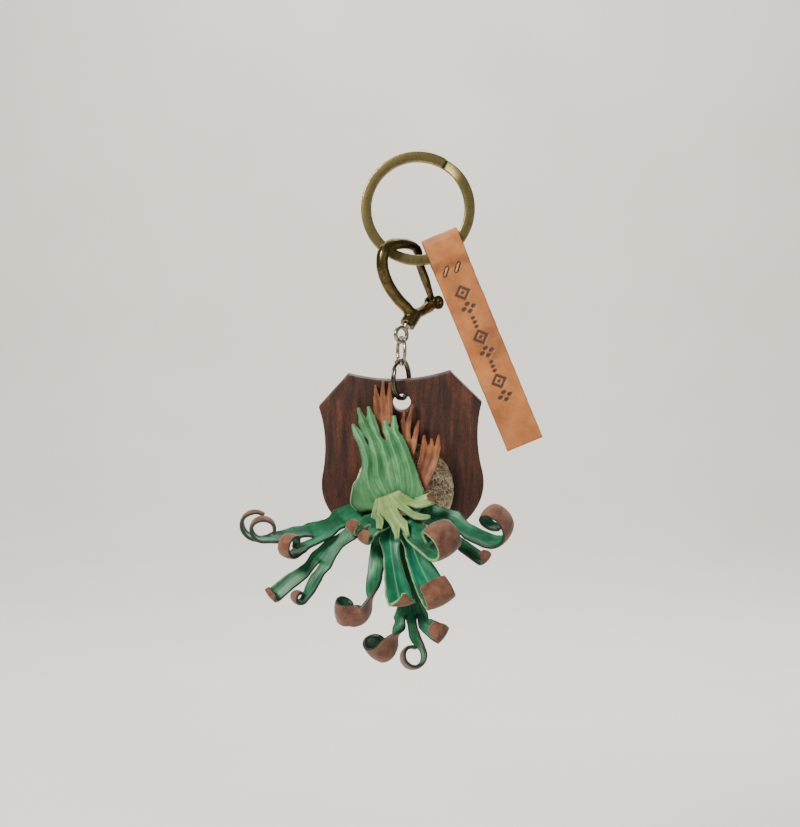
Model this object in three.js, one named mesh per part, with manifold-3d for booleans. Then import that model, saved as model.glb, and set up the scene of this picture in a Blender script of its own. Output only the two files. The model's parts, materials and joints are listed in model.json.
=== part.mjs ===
// Keychain with a miniature staghorn fern in leather, mounted on a walnut shield plaque.
// Units are millimetres, +Z is up and -Y is the front. The origin is the point where the
// key ring hangs: the highest point of its inner edge.
import * as THREE from 'three';
import { mergeVertices } from 'three/addons/utils/BufferGeometryUtils.js';
import Module from 'manifold-3d';

const wasm = await Module();
wasm.setup();

// ---------------------------------------------------------------- driving dimensions
const GAP = 0.3; // running gap between touching pieces

// Split rings: start is where the coil begins, and step the angle in which it changes layer.
const KEY_RING = { inner: 13.5, outer: 16.5, coil: 1.1, between: 0.15, start: 60, step: 36 };
const SMALL_RING = {
  inner: 5,
  outer: 6.15,
  coil: 0.55,
  between: 0.12,
  start: 150,
  step: 40,
  turned: -24,
};
const JUMP_RING = { wire: 0.5, ring: 4, turned: 15 };

const HOOK = {
  at: [-4.5, -0.8, -25.6], // where the bow rests on the key ring
  turned: 40, // degrees about the vertical, so the bow passes round the ring's band
  rod: 1.75, // radius of the bow's rod
  tip: [1.2, 1.5], // its radius at the tip and a little further on
  barrel: { radius: 2.3, length: 4.9, wall: 0.7, floor: 0.8 },
  swivelLean: 37.7, // degrees between the swivel's axis and the vertical, in the bow's plane
  pin: [12.2, -14.6], // the gate's pin: across and up in the bow's plane
  pinRadius: 0.5,
  pinReach: 2.1, // half the pin's length
  boss: { radius: 2.1, width: 4.4, slot: 2.6 },
};
const SPRING = { turns: 3, radius: 1, wire: 0.09, start: -1.05, length: 0.5 };

// The eye stands in the bow's plane, so it is turned by the swivel's own lean.
const EYE = {
  wire: 0.6,
  ring: 2.1,
  reach: 6.1,
  post: 0.7,
  head: 1.25,
  headThick: 0.8,
  collar: [1.35, 1],
  turned: HOOK.swivelLean,
};

const PLAQUE = { thick: 4, hole: 2.6, centre: -0.5, lean: 12, roll: -1.7, bevel: 0.5 };
const MOSS = { radius: 14.5, height: 9, below: 25.8 }; // below the plaque's hole

const TAG = { width: 11, length: 75, leather: 1.1, lean: 22.4, offset: 2.7 };
const FOLD = {
  inside: KEY_RING.coil + KEY_RING.between / 2 + GAP, // half the fold's inner depth
  top: -10.2, // its inner top, clear of the curved band across the whole width
  straight: -16.6, // where its straight sides end
  closed: -18.6, // where the two layers meet
};
const STITCH = { at: -20.1, across: [-2.2, 1.4], slant: [0.75, 0.95], thread: 0.4 };

const LEATHER = 0.9; // thickness of the fronds' leather

// ---------------------------------------------------------------- materials
const finish = (color, roughness, metalness = 0) =>
  new THREE.MeshStandardMaterial({ color, roughness, metalness, side: THREE.DoubleSide });

const brass = finish(0x8a7d4a, 0.35, 1);
const darkBrass = finish(0x4a4030, 0.4, 1);
const steel = finish(0xb5b0a4, 0.3, 1);
const walnut = finish(0x5a3226, 0.6);
const tan = finish(0xb9763f, 0.6);
const thread = finish(0xd9b98a, 0.8);
const moss = finish(0xcfc3a0, 0.95);
const green = finish(0x1f7a50, 0.4);
const sage = finish(0x6fae7c, 0.55);
const youngGreen = finish(0xa4c07a, 0.5);
const brown = finish(0x8a5a42, 0.8);

// ---------------------------------------------------------------- helpers
const degrees = THREE.MathUtils.degToRad;
const vector = (values) => new THREE.Vector3(...values);

const part = new THREE.Group();

function add(parent, name, geometry, material) {
  const mesh = new THREE.Mesh(geometry, material);
  mesh.name = name;
  parent.add(mesh);
  return mesh;
}

function group(parent, position, rotation = [0, 0, 0]) {
  const child = new THREE.Group();
  child.position.set(...position);
  child.rotation.set(...rotation.map(degrees));
  parent.add(child);
  return child;
}

// Six times the signed volume of a mesh: negative when its faces point inwards.
function signedVolume(points, faces) {
  let sum = 0;
  for (const [a, b, c] of faces) {
    sum += points[a].dot(new THREE.Vector3().crossVectors(points[b], points[c]));
  }
  return sum;
}

function closedMesh(points, faces) {
  const outward = signedVolume(points, faces) > 0;
  const geometry = new THREE.BufferGeometry().setFromPoints(points);
  geometry.setIndex(faces.flatMap(([a, b, c]) => (outward ? [a, b, c] : [a, c, b])));
  return geometry;
}

// A closed solid through a row of cross-sections, each a convex ring of points.
function loft(sections, { looped = false } = {}) {
  const count = sections[0].length;
  const rows = sections.length;
  const at = (row, i) => (row % rows) * count + (i % count);
  const faces = [];
  for (let row = 0; row < (looped ? rows : rows - 1); row++) {
    for (let i = 0; i < count; i++) {
      faces.push([at(row, i), at(row, i + 1), at(row + 1, i + 1)]);
      faces.push([at(row, i), at(row + 1, i + 1), at(row + 1, i)]);
    }
  }
  if (!looped) {
    for (let i = 1; i < count - 1; i++) {
      faces.push([at(0, 0), at(0, i + 1), at(0, i)]);
      faces.push([at(rows - 1, 0), at(rows - 1, i), at(rows - 1, i + 1)]);
    }
  }
  return closedMesh(sections.flat(), faces);
}

// Points of an ellipse or, with square corners cut off, of a flat band's section.
const ellipse = (a, b, sides) =>
  Array.from({ length: sides }, (_, i) => {
    const turn = (2 * Math.PI * i) / sides;
    return [a * Math.cos(turn), b * Math.sin(turn)];
  });
function band(a, b, corner) {
  const quarter = [
    [a, b - corner],
    [a - corner, b],
  ];
  return [
    ...quarter,
    ...quarter.map(([x, y]) => [-x, y]).reverse(),
    ...quarter.map(([x, y]) => [-x, -y]),
    ...quarter.map(([x, y]) => [x, -y]).reverse(),
  ];
}

// Two coils of a flat band about the Y axis. Both lie flat, and the band steps over from the
// first to the second just before it has gone round once.
function splitRing({ inner, outer, coil, between, start, step }, steps, corner) {
  const section = band((outer - inner) / 2, coil / 2, corner);
  const radius = (inner + outer) / 2;
  const pitch = coil + between;
  const span = 2 * 360 - step * 0.6;
  const sections = [];
  for (let i = 0; i <= steps; i++) {
    const swept = (span * i) / steps;
    const within = (swept - (360 - step * 0.8)) / step;
    const depth = pitch * (THREE.MathUtils.smoothstep(within, 0, 1) - 0.5);
    const angle = degrees(start + swept);
    sections.push(
      section.map(([out, across]) => {
        const r = radius + out;
        return new THREE.Vector3(r * Math.cos(angle), depth + across, r * Math.sin(angle));
      }),
    );
  }
  return loft(sections);
}

// A value part of the way along a list, from 0 at its start to 1 at its end.
function sample(list, fraction) {
  const place = fraction * (list.length - 1);
  const low = Math.min(Math.floor(place), Math.max(list.length - 2, 0));
  const high = Math.min(low + 1, list.length - 1);
  return THREE.MathUtils.lerp(list[low], list[high], place - low);
}

// As sample, but along a smooth curve that never swings past the values.
function eased(list, fraction) {
  const last = list.length - 1;
  const place = fraction * last;
  const i = Math.min(Math.floor(place), Math.max(last - 1, 0));
  const slopes = [i, i + 1].map((k) => {
    if (k === 0 || k >= last) return list[Math.min(k + 1, last)] - list[Math.max(k - 1, 0)];
    const before = list[k] - list[k - 1];
    const after = list[k + 1] - list[k];
    return before * after > 0 ? (2 * before * after) / (before + after) : 0;
  });
  const [a, b] = [list[i], list[Math.min(i + 1, last)]];
  const t = place - i;
  const bend = (3 * (b - a) - 2 * slopes[0] - slopes[1]) * t * t;
  return a + slopes[0] * t + bend + (2 * (a - b) + slopes[0] + slopes[1]) * t ** 3;
}

// A round rod along a curve; radii gives its radius from start to end.
function rod(curve, radii, steps, sides) {
  const frames = curve.computeFrenetFrames(steps, false);
  const sections = [];
  for (let i = 0; i <= steps; i++) {
    const centre = curve.getPointAt(i / steps);
    const radius = sample(radii, i / steps);
    sections.push(
      ellipse(radius, radius, sides).map(([a, b]) =>
        centre
          .clone()
          .addScaledVector(frames.normals[i], a)
          .addScaledVector(frames.binormals[i], b),
      ),
    );
  }
  return loft(sections);
}

function toSolid(geometry) {
  const bare = geometry.clone();
  bare.deleteAttribute('normal');
  bare.deleteAttribute('uv');
  const merged = mergeVertices(bare, 1e-4);
  const mesh = new wasm.Mesh({
    numProp: 3,
    vertProperties: new Float32Array(merged.attributes.position.array),
    triVerts: new Uint32Array(merged.index.array),
  });
  return new wasm.Manifold(mesh);
}

function fromSolid(solid) {
  const mesh = solid.getMesh();
  const geometry = new THREE.BufferGeometry();
  const position = new THREE.BufferAttribute(new Float32Array(mesh.vertProperties), 3);
  geometry.setAttribute('position', position);
  geometry.setIndex([...mesh.triVerts]);
  return geometry;
}

const join = (...shapes) => fromSolid(shapes.map(toSolid).reduce((a, b) => a.add(b)));
const cut = (shape, ...tools) =>
  fromSolid(tools.map(toSolid).reduce((a, b) => a.subtract(b), toSolid(shape)));

// A cylinder from one point to another.
function cylinder(from, to, radius, sides = 16, radiusAtEnd = radius) {
  const along = to.clone().sub(from);
  const turn = new THREE.Quaternion();
  turn.setFromUnitVectors(new THREE.Vector3(0, 1, 0), along.clone().normalize());
  return new THREE.CylinderGeometry(radiusAtEnd, radius, along.length(), sides)
    .applyQuaternion(turn)
    .translate(...from.clone().addScaledVector(along, 0.5).toArray());
}

// ---------------------------------------------------------------- key ring
const keyRing = group(part, [0, 0, -KEY_RING.inner]);
add(keyRing, 'key_ring', splitRing(KEY_RING, 60, 0.3), brass);

// ---------------------------------------------------------------- snap hook
// Points of the hook are given across and up in the bow's own plane.
const hook = group(part, HOOK.at, [0, 0, HOOK.turned]);
const inBow = ([across, up], depth = 0) => new THREE.Vector3(across, depth, up);

const BOW = [
  [6, -2.6],
  [6.2, -0.7],
  [5, 1.1],
  [2.9, 1.75],
  [-1, 1.8],
  [-4.8, 0.9],
  [-7, -1.1],
  [-7.6, -4.3],
  [-6.7, -7.8],
  [-4.6, -11.2],
  [-1.4, -14.4],
  [1.8, -16.8],
  [3.2, -18.6],
];
const barrelAt = inBow([3.3, -19.7]);
const swivelLean = degrees(HOOK.swivelLean);
const swivelAxis = inBow([-Math.sin(swivelLean), -Math.cos(swivelLean)]);
const onSwivel = (distance) => barrelAt.clone().addScaledVector(swivelAxis, distance);
const pinAt = inBow(HOOK.pin);
const acrossPin = (distance) => pinAt.clone().add(new THREE.Vector3(0, distance, 0));

function hookBody() {
  const { barrel, boss } = HOOK;
  const half = barrel.length / 2;
  const bowCurve = new THREE.CatmullRomCurve3(BOW.map((point) => inBow(point)));
  const bow = rod(bowCurve, [...HOOK.tip, ...Array(5).fill(HOOK.rod)], 40, 12);
  const armCurve = new THREE.CatmullRomCurve3([
    inBow([3.6, -18.6]),
    inBow([7.2, -17.5]),
    inBow([9.7, -16.2]),
    pinAt,
  ]);
  const arm = rod(armCurve, [1.6, 1.5, 2.1], 10, 12);
  const shell = cylinder(onSwivel(-half), onSwivel(half), barrel.radius, 20);
  const knuckle = cylinder(acrossPin(-boss.width / 2), acrossPin(boss.width / 2), boss.radius, 18);
  const bore = cylinder(onSwivel(0), onSwivel(half + 1), EYE.post + GAP, 16);
  const roomRadius = barrel.radius - barrel.wall;
  const room = cylinder(onSwivel(-0.2), onSwivel(half - barrel.floor), roomRadius, 16);
  const slot = new THREE.BoxGeometry(4.2, boss.slot, 8)
    .translate(0, 0, 3.5 - boss.radius)
    .rotateY(degrees(-40))
    .translate(...pinAt.toArray());
  const pinHole = cylinder(acrossPin(-5), acrossPin(5), HOOK.pinRadius + GAP, 12);
  return cut(join(bow, arm, shell, knuckle), bore, room, slot, pinHole);
}

function hookGate() {
  const tip = inBow([6.5, -3.5]);
  const stations = [0, 0.2, 0.6, 1];
  const widths = [1.2, 1.6, 2.6, 2.4];
  const shifts = [0.4, 0.3, 0, 0];
  const along = tip.clone().sub(pinAt);
  const side = new THREE.Vector3(0, 1, 0);
  const face = new THREE.Vector3().crossVectors(along, side).normalize();
  const blade = loft(
    stations.map((s, i) =>
      band(widths[i] / 2, 0.8, 0.25).map(([a, b]) =>
        pinAt
          .clone()
          .addScaledVector(along, s)
          .addScaledVector(side, a + shifts[i])
          .addScaledVector(face, b),
      ),
    ),
  );
  const knuckle = cylinder(acrossPin(-0.2), acrossPin(1), 1.35, 16);
  const pinHole = cylinder(acrossPin(-3), acrossPin(3), HOOK.pinRadius + GAP, 12);
  return cut(join(blade, knuckle), pinHole);
}

// The spring is a small coil round the pin, beside the gate's knuckle.
function gateSpring() {
  const stepsPerTurn = 10;
  const steps = SPRING.turns * stepsPerTurn;
  const sections = [];
  for (let i = 0; i <= steps; i++) {
    const angle = (2 * Math.PI * i) / stepsPerTurn;
    const out = inBow([Math.cos(angle), Math.sin(angle)]);
    const depth = SPRING.start + (SPRING.length * i) / steps;
    const centre = acrossPin(depth).addScaledVector(out, SPRING.radius);
    sections.push(
      ellipse(SPRING.wire, SPRING.wire, 5).map(([a, b]) =>
        centre.clone().addScaledVector(out, a).add(new THREE.Vector3(0, b, 0)),
      ),
    );
  }
  return loft(sections);
}

add(hook, 'hook_body', hookBody(), darkBrass);
add(hook, 'hook_gate', hookGate(), darkBrass);
const gatePin = cylinder(acrossPin(-HOOK.pinReach), acrossPin(HOOK.pinReach), HOOK.pinRadius, 12);
add(hook, 'gate_pin', gatePin, steel);
add(hook, 'gate_spring', gateSpring(), steel);

// ---------------------------------------------------------------- swivel and rings
const swivelTurn = new THREE.Quaternion();
swivelTurn.setFromUnitVectors(new THREE.Vector3(0, -1, 0), swivelAxis);

// The swivel's post is headed inside the hook's barrel and ends in an eye.
function swivelEye() {
  const { barrel } = HOOK;
  const floor = barrel.length / 2 - barrel.floor;
  const ringTop = EYE.reach - EYE.ring;
  const headAt = floor - GAP - EYE.headThick;
  const head = cylinder(onSwivel(headAt), onSwivel(floor - GAP), EYE.head, 16);
  const post = cylinder(onSwivel(headAt + 0.4), onSwivel(ringTop + 0.2), EYE.post, 14);
  const collarAt = barrel.length / 2 + GAP;
  const [wide, narrow] = EYE.collar;
  const collar = cylinder(onSwivel(collarAt), onSwivel(ringTop - 0.4), wide, 16, narrow);
  const ring = new THREE.TorusGeometry(EYE.ring, EYE.wire, 10, 24)
    .rotateY(degrees(EYE.turned))
    .applyQuaternion(swivelTurn)
    .translate(...onSwivel(EYE.reach).toArray());
  return join(head, post, collar, ring);
}
add(hook, 'swivel_eye', swivelEye(), steel);

hook.updateMatrixWorld(true);
const eyeAt = hook.localToWorld(onSwivel(EYE.reach));

// The jump ring hangs in the lowest part of the eye, and the small ring in the jump ring.
const eyeNormal = new THREE.Vector3(0, 0, 1)
  .applyAxisAngle(new THREE.Vector3(0, 1, 0), degrees(EYE.turned))
  .applyQuaternion(swivelTurn)
  .transformDirection(hook.matrixWorld);
const down = new THREE.Vector3(0, 0, -1).projectOnPlane(eyeNormal).normalize();
const hangAt = eyeAt.clone().addScaledVector(down, EYE.ring);
const jumpTop = hangAt.z + EYE.wire + GAP + JUMP_RING.wire;
const jumpCentre = new THREE.Vector3(hangAt.x, hangAt.y, jumpTop - JUMP_RING.ring);
const jumpRing = group(part, jumpCentre.toArray(), [0, 0, 90 + JUMP_RING.turned]);
const jumpShape = new THREE.TorusGeometry(JUMP_RING.ring, JUMP_RING.wire, 10, 28);
add(jumpRing, 'jump_ring', jumpShape.rotateX(Math.PI / 2), steel);

const smallTop = jumpCentre.z - JUMP_RING.ring + JUMP_RING.wire + GAP;
const smallCentre = new THREE.Vector3(hangAt.x, hangAt.y, smallTop - SMALL_RING.inner);
const smallRing = group(part, smallCentre.toArray(), [0, 0, 90 + SMALL_RING.turned]);
add(smallRing, 'small_split_ring', splitRing(SMALL_RING, 56, 0.15), steel);

// ---------------------------------------------------------------- leather tag
// A strap folded over the key ring's band, its two layers glued below the band and held
// there by two slanted stitches. Its own -Z points down the strap.
const tag = group(part, [0, 0, -KEY_RING.inner], [0, -TAG.lean, 0]);

// Lays a flat shape, drawn as depth across and height up, along the X axis.
function extrudeAlongX(shape, from, to, steps = 8) {
  const geometry = new THREE.ExtrudeGeometry(shape, {
    depth: to - from,
    bevelEnabled: false,
    curveSegments: steps,
  });
  const turn = new THREE.Matrix4().makeBasis(
    new THREE.Vector3(0, 1, 0),
    new THREE.Vector3(0, 0, 1),
    new THREE.Vector3(1, 0, 0),
  );
  return geometry.applyMatrix4(turn).translate(from, 0, 0);
}

function tagStrap() {
  const t = TAG.leather;
  const { inside, top, straight, closed } = FOLD;
  const outside = inside + t;
  const shape = new THREE.Shape();
  shape.moveTo(-t, -TAG.length);
  shape.lineTo(t, -TAG.length);
  shape.lineTo(t, closed - 0.6);
  shape.quadraticCurveTo(outside, closed + 0.6, outside, straight + 0.2);
  shape.lineTo(outside, top - inside);
  shape.absarc(0, top - inside, outside, 0, Math.PI);
  shape.lineTo(-outside, straight + 0.2);
  shape.quadraticCurveTo(-outside, closed + 0.6, -t, closed - 0.6);
  shape.closePath();
  const fold = new THREE.Path();
  fold.moveTo(0, closed);
  fold.quadraticCurveTo(inside, closed + 0.8, inside, straight - 0.2);
  fold.lineTo(inside, top - inside);
  fold.absarc(0, top - inside, inside, 0, Math.PI);
  fold.lineTo(-inside, straight - 0.2);
  fold.quadraticCurveTo(-inside, closed + 0.8, 0, closed);
  shape.holes.push(fold);
  const half = TAG.width / 2;
  return extrudeAlongX(shape, TAG.offset - half, TAG.offset + half);
}

// A stitch is a slanted loop of thread through the strap.
function stitch(across, radius) {
  const reach = TAG.leather + STITCH.thread + GAP / 2;
  const [slantX, slantZ] = STITCH.slant;
  const ends = [-1, 1].map((side) => [across + side * slantX, STITCH.at + side * slantZ]);
  const corners = [
    [ends[0], -reach],
    [ends[1], -reach],
    [ends[1], reach],
    [ends[0], reach],
  ].map(([[x, z], y]) => new THREE.Vector3(x, y, z));
  const sections = corners.map((corner, i) => {
    const before = corners[(i + 3) % 4].clone().sub(corner).normalize();
    const after = corners[(i + 1) % 4].clone().sub(corner).normalize();
    const outward = before.clone().add(after).normalize().multiplyScalar(-Math.SQRT2);
    const side = new THREE.Vector3().crossVectors(before, after).normalize();
    return ellipse(radius, radius, 8).map(([a, b]) =>
      corner.clone().addScaledVector(outward, a).addScaledVector(side, b),
    );
  });
  return loft(sections, { looped: true });
}
const stitchPlaces = STITCH.across.map((across) => TAG.offset + across);
const threadHoles = stitchPlaces.map((across) => stitch(across, STITCH.thread + GAP));
add(tag, 'tag_strap', cut(tagStrap(), ...threadHoles), tan);
stitchPlaces.forEach((across, i) => {
  add(tag, `tag_stitch_${i + 1}`, stitch(across, STITCH.thread), thread);
});

// ---------------------------------------------------------------- walnut plaque
// The plaque hangs from the small ring and turns about that ring's centre.
const plaque = group(part, smallCentre.toArray(), [PLAQUE.lean, PLAQUE.roll, 0]);
const holeAt = -(SMALL_RING.inner - 1) - PLAQUE.hole;

function plaqueShape() {
  const shape = new THREE.Shape();
  const side = (sign) => ({
    top: [PLAQUE.centre + sign * 14.7, 8.75],
    shoulder: [PLAQUE.centre + sign * 23.6, -0.6],
    waist: [PLAQUE.centre + sign * 20.9, -10],
    belly: [PLAQUE.centre + sign * 23.4, -21],
    flank: [PLAQUE.centre + sign * 25.2, -30],
    hip: [PLAQUE.centre + sign * 19.5, -36.2],
    heel: [PLAQUE.centre + sign * 12.5, -40.4],
    toe: [PLAQUE.centre + sign * 5, -44.6],
  });
  const tip = [PLAQUE.centre, -49];
  const left = side(-1);
  const right = side(1);
  shape.moveTo(...left.top);
  shape.quadraticCurveTo(0, 4.4, ...right.top);
  shape.lineTo(...right.shoulder);
  shape.quadraticCurveTo(...right.waist, ...right.belly);
  shape.bezierCurveTo(...right.flank, ...right.hip, ...right.heel);
  shape.quadraticCurveTo(...right.toe, ...tip);
  shape.quadraticCurveTo(...left.toe, ...left.heel);
  shape.bezierCurveTo(...left.hip, ...left.flank, ...left.belly);
  shape.quadraticCurveTo(...left.waist, ...left.shoulder);
  shape.closePath();
  const hole = new THREE.Path();
  hole.absarc(0, 0, PLAQUE.hole, 0, 2 * Math.PI);
  shape.holes.push(hole);
  return shape;
}
const plaqueGeometry = new THREE.ExtrudeGeometry(plaqueShape(), {
  depth: PLAQUE.thick - 2 * PLAQUE.bevel,
  bevelThickness: PLAQUE.bevel,
  bevelSize: PLAQUE.bevel,
  bevelOffset: -PLAQUE.bevel,
  bevelSegments: 1,
  curveSegments: 10,
})
  .translate(0, 0, PLAQUE.bevel - PLAQUE.thick / 2)
  .rotateX(Math.PI / 2)
  .translate(0, 0, holeAt);
add(plaque, 'plaque', plaqueGeometry, walnut);

// The moss is a shallow dome glued to the plaque's front.
function mossPad() {
  const profile = [new THREE.Vector2(0, 0), new THREE.Vector2(MOSS.radius, 0)];
  const rows = 6;
  for (let i = 1; i <= rows; i++) {
    const turn = (Math.PI / 2) * (i / rows);
    const reach = MOSS.radius * Math.cos(turn) ** 0.8;
    profile.push(new THREE.Vector2(reach, MOSS.height * Math.sin(turn)));
  }
  profile[profile.length - 1].x = 0;
  return new THREE.LatheGeometry(profile, 28)
    .rotateX(Math.PI)
    .translate(0, -PLAQUE.thick / 2 - GAP, holeAt - MOSS.below);
}
add(plaque, 'moss_pad', mossPad(), moss);

// ---------------------------------------------------------------- leather fronds
// A frond is one piece of leather that splits into narrower straps. Each strap has points
// [x, y, z, width] measured from the fern's root, may end in a curl, and may split again.
// The straps of a split are listed from left to right for someone walking along the green
// side towards the tips. face is the direction that the green side looks in.
const CROSS = 2; // columns across each last strap
const STEPS = 3; // rows between two points
const CURL_STEP = 36; // degrees of curl between two rows
const SLIT = 0.2; // share of a strap's width cut away beside a slit

const columnsOf = (strap) =>
  strap.split ? strap.split.reduce((sum, child) => sum + columnsOf(child), 0) : CROSS;

function rowAcross(sheet, centre, side, face, width, columns) {
  const row = [];
  for (let i = 0; i <= columns; i++) {
    const across = i / columns - 0.5;
    const cup = 0.3 * width * across * across;
    row.push(sheet.points.length);
    sheet.points.push(
      centre.clone().addScaledVector(side, across * width).addScaledVector(face, cup),
    );
  }
  return row;
}

function joinRows(sheet, before, after) {
  for (let i = 0; i + 1 < before.length; i++) {
    sheet.faces.push([before[i], before[i + 1], after[i + 1]]);
    sheet.faces.push([before[i], after[i + 1], after[i]]);
  }
}

// A strap's first rows turn gradually from the heading of the leather it grows out of, and
// are narrowed by slit, so that a gap stays open between neighbours.
function growStrap(sheet, strap, firstRow, startAlong, startFace, slit = 0) {
  const columns = columnsOf(strap);
  const ends = [firstRow[0], firstRow[firstRow.length - 1]].map((i) => sheet.points[i]);
  const start = ends[0].clone().lerp(ends[1], 0.5);
  const route = [start, ...strap.points.map(([x, y, z]) => new THREE.Vector3(x, y, z))];
  const widths = [ends[0].distanceTo(ends[1]), ...strap.points.map((point) => point[3])];
  const curve = new THREE.CatmullRomCurve3(route);
  const endFace = strap.face ? vector(strap.face) : startFace;
  const rows = STEPS * strap.points.length;
  let row = firstRow;
  let frame;
  for (let i = 1; i <= rows; i++) {
    const u = i / rows;
    const turned = Math.min(i / STEPS, 1);
    const along = startAlong.clone().lerp(curve.getTangent(u), turned).normalize();
    const face = startFace.clone().lerp(endFace, u);
    face.addScaledVector(along, -face.dot(along)).normalize();
    const side = new THREE.Vector3().crossVectors(along, face);
    const width = eased(widths, u) * (1 - slit * Math.sin(Math.PI * turned));
    frame = { centre: curve.getPoint(u), along, face, side, width };
    const next = rowAcross(sheet, frame.centre, side, face, frame.width, columns);
    joinRows(sheet, row, next);
    row = next;
  }
  if (strap.curl) row = rollUp(sheet, strap.curl, frame, row, columns);
  if (!strap.split) return;
  let first = 0;
  for (const child of strap.split) {
    const last = first + columnsOf(child);
    growStrap(sheet, child, row.slice(first, last + 1), frame.along, frame.face, SLIT);
    first = last;
  }
}

// Rolls a strap's end towards its green side: the radius shrinks as it turns, so the turns
// lie inside each other, and drift moves them sideways.
function rollUp(sheet, curl, frame, firstRow, columns) {
  const { turn, radius, tight = radius * 0.55, drift = 0, tip = 0.5 } = curl;
  const rows = Math.ceil(turn / CURL_STEP);
  const step = degrees(turn) / rows;
  const centre = frame.centre.clone();
  let { along, face } = frame;
  let row = firstRow;
  for (let i = 1; i <= rows; i++) {
    const u = i / rows;
    const advance = step * THREE.MathUtils.lerp(radius, tight, u);
    const middle = along.clone().applyAxisAngle(frame.side, step / 2);
    centre.addScaledVector(middle, advance).addScaledVector(frame.side, drift / rows);
    along = along.clone().applyAxisAngle(frame.side, step);
    face = face.clone().applyAxisAngle(frame.side, step);
    const taper = THREE.MathUtils.smoothstep(u, 0.55, 1);
    const width = frame.width * THREE.MathUtils.lerp(1, tip, taper);
    const next = rowAcross(sheet, centre, frame.side, face, width, columns);
    joinRows(sheet, row, next);
    row = next;
  }
  return row;
}

// Gives a sheet its thickness: both faces, and a wall along every edge that one face uses.
function thicken(sheet, thickness) {
  const count = sheet.points.length;
  const normals = sheet.points.map(() => new THREE.Vector3());
  const edges = new Map();
  for (const face of sheet.faces) {
    const [a, b, c] = face.map((i) => sheet.points[i]);
    const normal = b.clone().sub(a).cross(c.clone().sub(a));
    face.forEach((i) => normals[i].add(normal));
    face.forEach((i, k) => {
      const next = face[(k + 1) % 3];
      if (!edges.delete(`${next},${i}`)) edges.set(`${i},${next}`, [i, next]);
    });
  }
  normals.forEach((normal) => normal.normalize().multiplyScalar(thickness / 2));
  const top = sheet.points.map((point, i) => point.clone().add(normals[i]));
  const under = sheet.points.map((point, i) => point.clone().sub(normals[i]));
  const faces = [
    ...sheet.faces,
    ...sheet.faces.map(([a, b, c]) => [a + count, c + count, b + count]),
  ];
  for (const [a, b] of edges.values()) {
    faces.push([b, a, a + count], [b, a + count, b + count]);
  }
  return closedMesh([...top, ...under], faces);
}

function frond({ from, face, ...trunk }) {
  const sheet = { points: [], faces: [] };
  const startFace = vector(face[0]).normalize();
  const along = vector(trunk.points[0]).sub(vector(from)).normalize();
  const side = new THREE.Vector3().crossVectors(along, startFace).normalize();
  const first = rowAcross(sheet, vector(from), side, startFace, from[3], columnsOf(trunk));
  growStrap(sheet, { ...trunk, face: face[1] }, first, along, startFace);
  return thicken(sheet, LEATHER);
}

const rootAt = smallCentre.clone().add(new THREE.Vector3(-1.3, -4.5, -36));
const fern = group(part, rootAt.toArray());

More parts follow.
